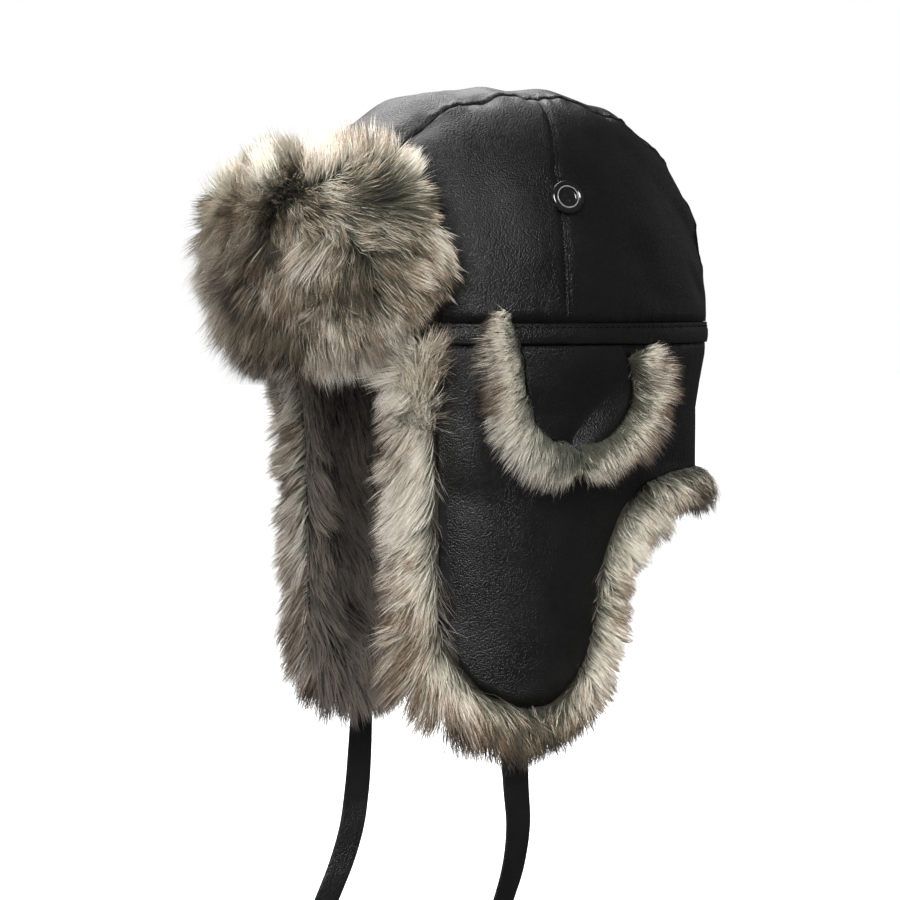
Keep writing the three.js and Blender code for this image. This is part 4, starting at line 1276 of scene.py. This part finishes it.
def build_visor_fur():
    t, level = grid(np.linspace(*VISOR_ENDS, 90), np.linspace(0.0, 1, 50))
    t = FRONT + (t - FRONT) * (1 - 0.13 * smooth(level, 0.4, 1))
    skin = pile_point(t, level, 0.55)
    z = skin[..., 2]
    away, edge = np.abs(t - FRONT), np.minimum(level, 1 - level)
    rise = 1.5 * smooth(level, 0.84, 1) - 1.5 * smooth(0.16 - level, 0, 0.16)
    ends = np.sign(t - FRONT) * 1.3 * smooth(away, 36, 50)
    normals = unit(wall_normal(t) + UP * rise[..., None] + wall_along(t) * ends[..., None])
    comb = visor_comb(t, level, skin, normals)
    lower = smooth(0.5 - level, 0, 0.4) * (1 - smooth(away, 25, 42))
    belly = bell(z - 44, 30) * (1 - smooth(away, 26, 46))
    point_to = normals * (0.24 + 0.06 * lower + 0.3 * belly)[..., None] + comb - UP * 0.1
    length = 23 - 3 * smooth(0.2 - edge, 0, 0.2) - 7 * smooth(away, 38, 49)
    length = length - 5 * smooth(-t, 106, 124) * smooth(z, 30, 60)
    tone = 0.32 + 0.62 * smooth(level, 0.8, 0.93) + 0.4 * smooth(0.1 - level, 0, 0.1) + blobs(VISOR_TONES, t, z)
    leave = normals * 0.75 + comb * 0.55
    full = field_of(skin, normals, leave, point_to, length, 1, tone, 0.0, blobs(VISOR_SHIFTS, t, z))
    solid_t, solid_level = grid(np.linspace(*VISOR_ENDS, 44), np.linspace(0, 1, 24))
    solid = shell(pile_point(solid_t, solid_level, 0.62), pile_point(solid_t, solid_level, 0.0))
    undercoat("visor_undercoat", [solid], "visor_fur", voxel=0.004)
    half = len(t) // 2
    for name, part in (("left", slice(0, half + 1)), ("right", slice(half, len(t)))):
        piece = {key: v[part] for key, v in full.items()}
        grow(
            f"visor_strands_{name}", [(piece, 24500)], width=0.42, wild=0.28, turbulence=0.75, mottle=0.8,
            streak=0.17, seed=66,
        )


build_visor_fur()


# Buttons


BUTTON_RADIUS = 8.5
BUTTON_AT = (-5.8, 68.0)  # turn and height
BUTTON_SINK = 0.35  # into the soft leather
BUTTON_PROFILE = np.array(
    [
        # share of the radius, height
        (0.0, 0.0), (0.5, 0.0), (0.86, 0.0), (0.95, 0.35), (1.0, 1.1), (1.0, 1.6), (0.985, 2.3), (0.95, 2.9),
        (0.89, 3.3), (0.82, 3.42), (0.75, 3.25), (0.7, 2.95), (0.67, 2.75), (0.655, 2.8), (0.64, 2.95),
        (0.62, 2.98), (0.6, 2.85), (0.585, 2.3), (0.57, 1.8), (0.52, 1.5), (0.44, 1.36), (0.36, 1.3),
        (0.3, 1.3), (0.25, 1.3), (0.2, 1.3), (0.15, 1.3), (0.1, 1.3), (0.05, 1.3), (0.0, 1.3),
    ]
)
# The rows of the inner ring carry the painted highlight grey; the rest of the button is black gloss.
HIGHLIGHT_RING_ROWS = (12, 15)  # the profile's rows that are the grey ring; the centre lies inside them
HOLES = {"turn": 57, "away": 2.0, "radius": 0.72, "deep": 0.3}


def build_buttons():
    sides = 72
    turn = np.linspace(0, 2 * np.pi, sides, endpoint=False)
    share, height = BUTTON_PROFILE[:, 0, None], BUTTON_PROFILE[:, 1, None]
    x, y = share * BUTTON_RADIUS * np.cos(turn), share * BUTTON_RADIUS * np.sin(turn)
    height = np.broadcast_to(height, x.shape).copy()
    centre = (np.arange(len(x)) > HIGHLIGHT_RING_ROWS[1])[:, None]
    for k in range(4):
        a = math.radians(HOLES["turn"] + 90 * k)
        far = np.hypot(x - HOLES["away"] * math.cos(a), y - HOLES["away"] * math.sin(a))
        height -= np.where(centre, HOLES["deep"] * np.exp(-((far / HOLES["radius"]) ** 4)), 0)
    seat = dome_at(*BUTTON_AT)
    normal = dome_normal(seat)
    across = unit(np.cross(UP, normal))
    rise = (height - BUTTON_SINK)[..., None]
    placed = seat + x[..., None] * across + y[..., None] * np.cross(normal, across) + rise * normal
    quads, hoop = hoop_quads(len(x), sides)
    # Faces of the ring rows get the painted highlight grey.
    ring = ((hoop >= HIGHLIGHT_RING_ROWS[0]) & (hoop <= HIGHLIGHT_RING_ROWS[1])).astype(int)
    for hand, side, _ in HANDS:
        faces = quads if side is unchanged else quads[:, ::-1]
        piece = make_mesh(f"button_{hand}", side(placed).reshape(-1, 3), [faces], [GLOSS, PAINTED_HIGHLIGHT_RING], ring)
        place(piece, "button", f"crown_button_{hand}")


build_buttons()


# Tie straps

LEFT_STRAP = [
    # x, y, z, turn
    (82.4, -35, -178.9, -18),
    (82.4, -36, -196, -13),
    (82.6, -35, -216, -5),
    (83, -34, -236, 2),
    (82.4, -36.5, -256, 8),
    (80.6, -42, -276, 12),
    (79, -47.5, -296, 10),
    (78, -50.5, -315, 6),
]
RIGHT_STRAP = [
    (-82.4, -36.5, -178.9, 18),
    (-82.6, -37, -200, 8),
    (-82.8, -38, -222, -4),
    (-82.6, -40, -244, -14),
    (-82.4, -43, -262, -20),
    (-82.8, -48.5, -280, -22),
    (-83.8, -56, -298, -18),
    (-85.4, -63.5, -315, -12),
]


def build_strap(hand, rows):
    path = spread_path(rows, 84)
    centre, turn = path[:, :3], np.radians(path[:, 3])
    wide = stack(-np.sin(turn), np.cos(turn), 0)
    out = stack(np.cos(turn), np.sin(turn), 0)
    sides = 24
    around = np.linspace(0, 2 * np.pi, sides, endpoint=False)
    cx = np.sign(np.cos(around)) * np.abs(np.cos(around)) ** 0.28
    cy = np.sign(np.sin(around)) * np.abs(np.sin(around)) ** 0.6
    groove = 1 - 0.22 * bell(np.abs(cx) - 0.74, 0.08) * (np.abs(cy) > 0.5)
    across, thick = cx * STRAP_WIDTH / 2, cy * groove * STRAP_THICK / 2
    section = wide[:, None] * across[None, :, None] + out[:, None] * thick[None, :, None]
    points = centre[:, None] + section
    points = points + out[:, None] * (0.5 * (patches(points, 14, 51) - 0.5))[..., None]
    flat_points = points.reshape(-1, 3)
    quads = np.concatenate([hoop_quads(len(path), sides)[0], hoop_caps(len(path), sides)])
    if volume_of(flat_points, quads) < 0:
        quads = quads[:, ::-1]
    piece = make_mesh(f"strap_{hand}", flat_points, [quads], [STRAP_MATERIAL])
    place(piece, "leather", f"tie_strap_{hand}")


build_strap("left", LEFT_STRAP)
build_strap("right", RIGHT_STRAP)


# Floor, light and the view's colours


def add_stage():
    material, _, surface = new_material("white_floor")
    set_inputs(surface, {"Base Color": (0.9, 0.9, 0.9, 1), "Roughness": 0.9})
    set_inputs(surface, {"Emission Color": (1, 1, 1, 1), "Emission Strength": 0.8})
    far, low = 12000, -420
    points = np.array([(-far, -far, low), (far, -far, low), (far, far, low), (-far, far, low)], float)
    floor = make_mesh("floor", points, [np.array([[0, 1, 2, 3]])], [material])
    floor.visible_diffuse = False
    floor.visible_glossy = False


def add_light(name, place_at, target, size, power, glossy=True, diffuse=True):
    data = bpy.data.lights.new(name, "AREA")
    data.shape = "RECTANGLE"
    data.size, data.size_y = size
    data.energy = power
    light = add_object(name, data)
    light.location = place_at
    aim(light, Vector(target) - Vector(place_at))
    light.visible_glossy = glossy
    light.visible_diffuse = diffuse
    light.visible_camera = False


# Strengths of the world's light: for the camera, for matt surfaces and for gloss
WHITE_SEEN = 1.0
SOFT_FILL = 0.56
DARK_ROOM = 0.05


def add_world():
    """White all round to look at, a soft fill for matt surfaces, and a dark room for gloss to mirror."""
    world = bpy.data.worlds.new("studio")
    world.use_nodes = True
    world.cycles.sampling_method = "NONE"
    tree = world.node_tree
    tree.nodes.clear()
    path = tree.nodes.new("ShaderNodeLightPath")
    shades = []
    for strength in (SOFT_FILL, DARK_ROOM, WHITE_SEEN):
        shade = tree.nodes.new("ShaderNodeBackground")
        set_inputs(shade, {"Color": (1, 1, 1, 1), "Strength": strength})
        shades.append(shade.outputs[0])
    mixed = shades[0]
    for ray, shade in (("Is Glossy Ray", shades[1]), ("Is Camera Ray", shades[2])):
        mix = tree.nodes.new("ShaderNodeMixShader")
        tree.links.new(path.outputs[ray], mix.inputs[0])
        tree.links.new(mixed, mix.inputs[1])
        tree.links.new(shade, mix.inputs[2])
        mixed = mix.outputs[0]
    end = tree.nodes.new("ShaderNodeOutputWorld")
    tree.links.new(mixed, end.inputs["Surface"])
    bpy.context.scene.world = world


add_stage()
add_world()
add_light("key_shine", (0.74, -0.78, 0.44), (0.03, -0.03, 0.02), (0.5, 0.5), 9.4, diffuse=False)
add_light("key", (0.74, -0.78, 0.44), (0.03, -0.03, 0.02), (0.5, 0.5), 8.8, glossy=False)
add_light("overhead", (-0.3, -0.5, 1.6), (0, 0, 0), (1.5, 1.3), 46, glossy=False)
add_light("top_shine", (-1.0, -0.1, 1.43), (0, 0, 0), (1.3, 1.0), 19, diffuse=False)
add_light("crest_shine", (-1.34, 0.47, 1.02), (0, 0, 0), (0.9, 0.7), 5, diffuse=False)
add_light("left_card", (0.0, -1.2, 0.2), (0, 0, 0.04), (0.3, 0.6), 1.4, diffuse=False)
add_light("right_card", (-0.15, 1.15, 0.3), (0, 0, 0.04), (0.5, 0.5), 0.22, diffuse=False)
add_light("side_fill", (1.9, 0.7, 0.3), (0, 0, -0.1), (1.2, 1.2), 22, glossy=False)
add_light("back_fill", (-0.9, 1.6, 0.4), (0, 0, -0.05), (1.4, 1.4), 24, glossy=False)

view = bpy.context.scene.view_settings
view.view_transform = "Standard"
view.look = "None"
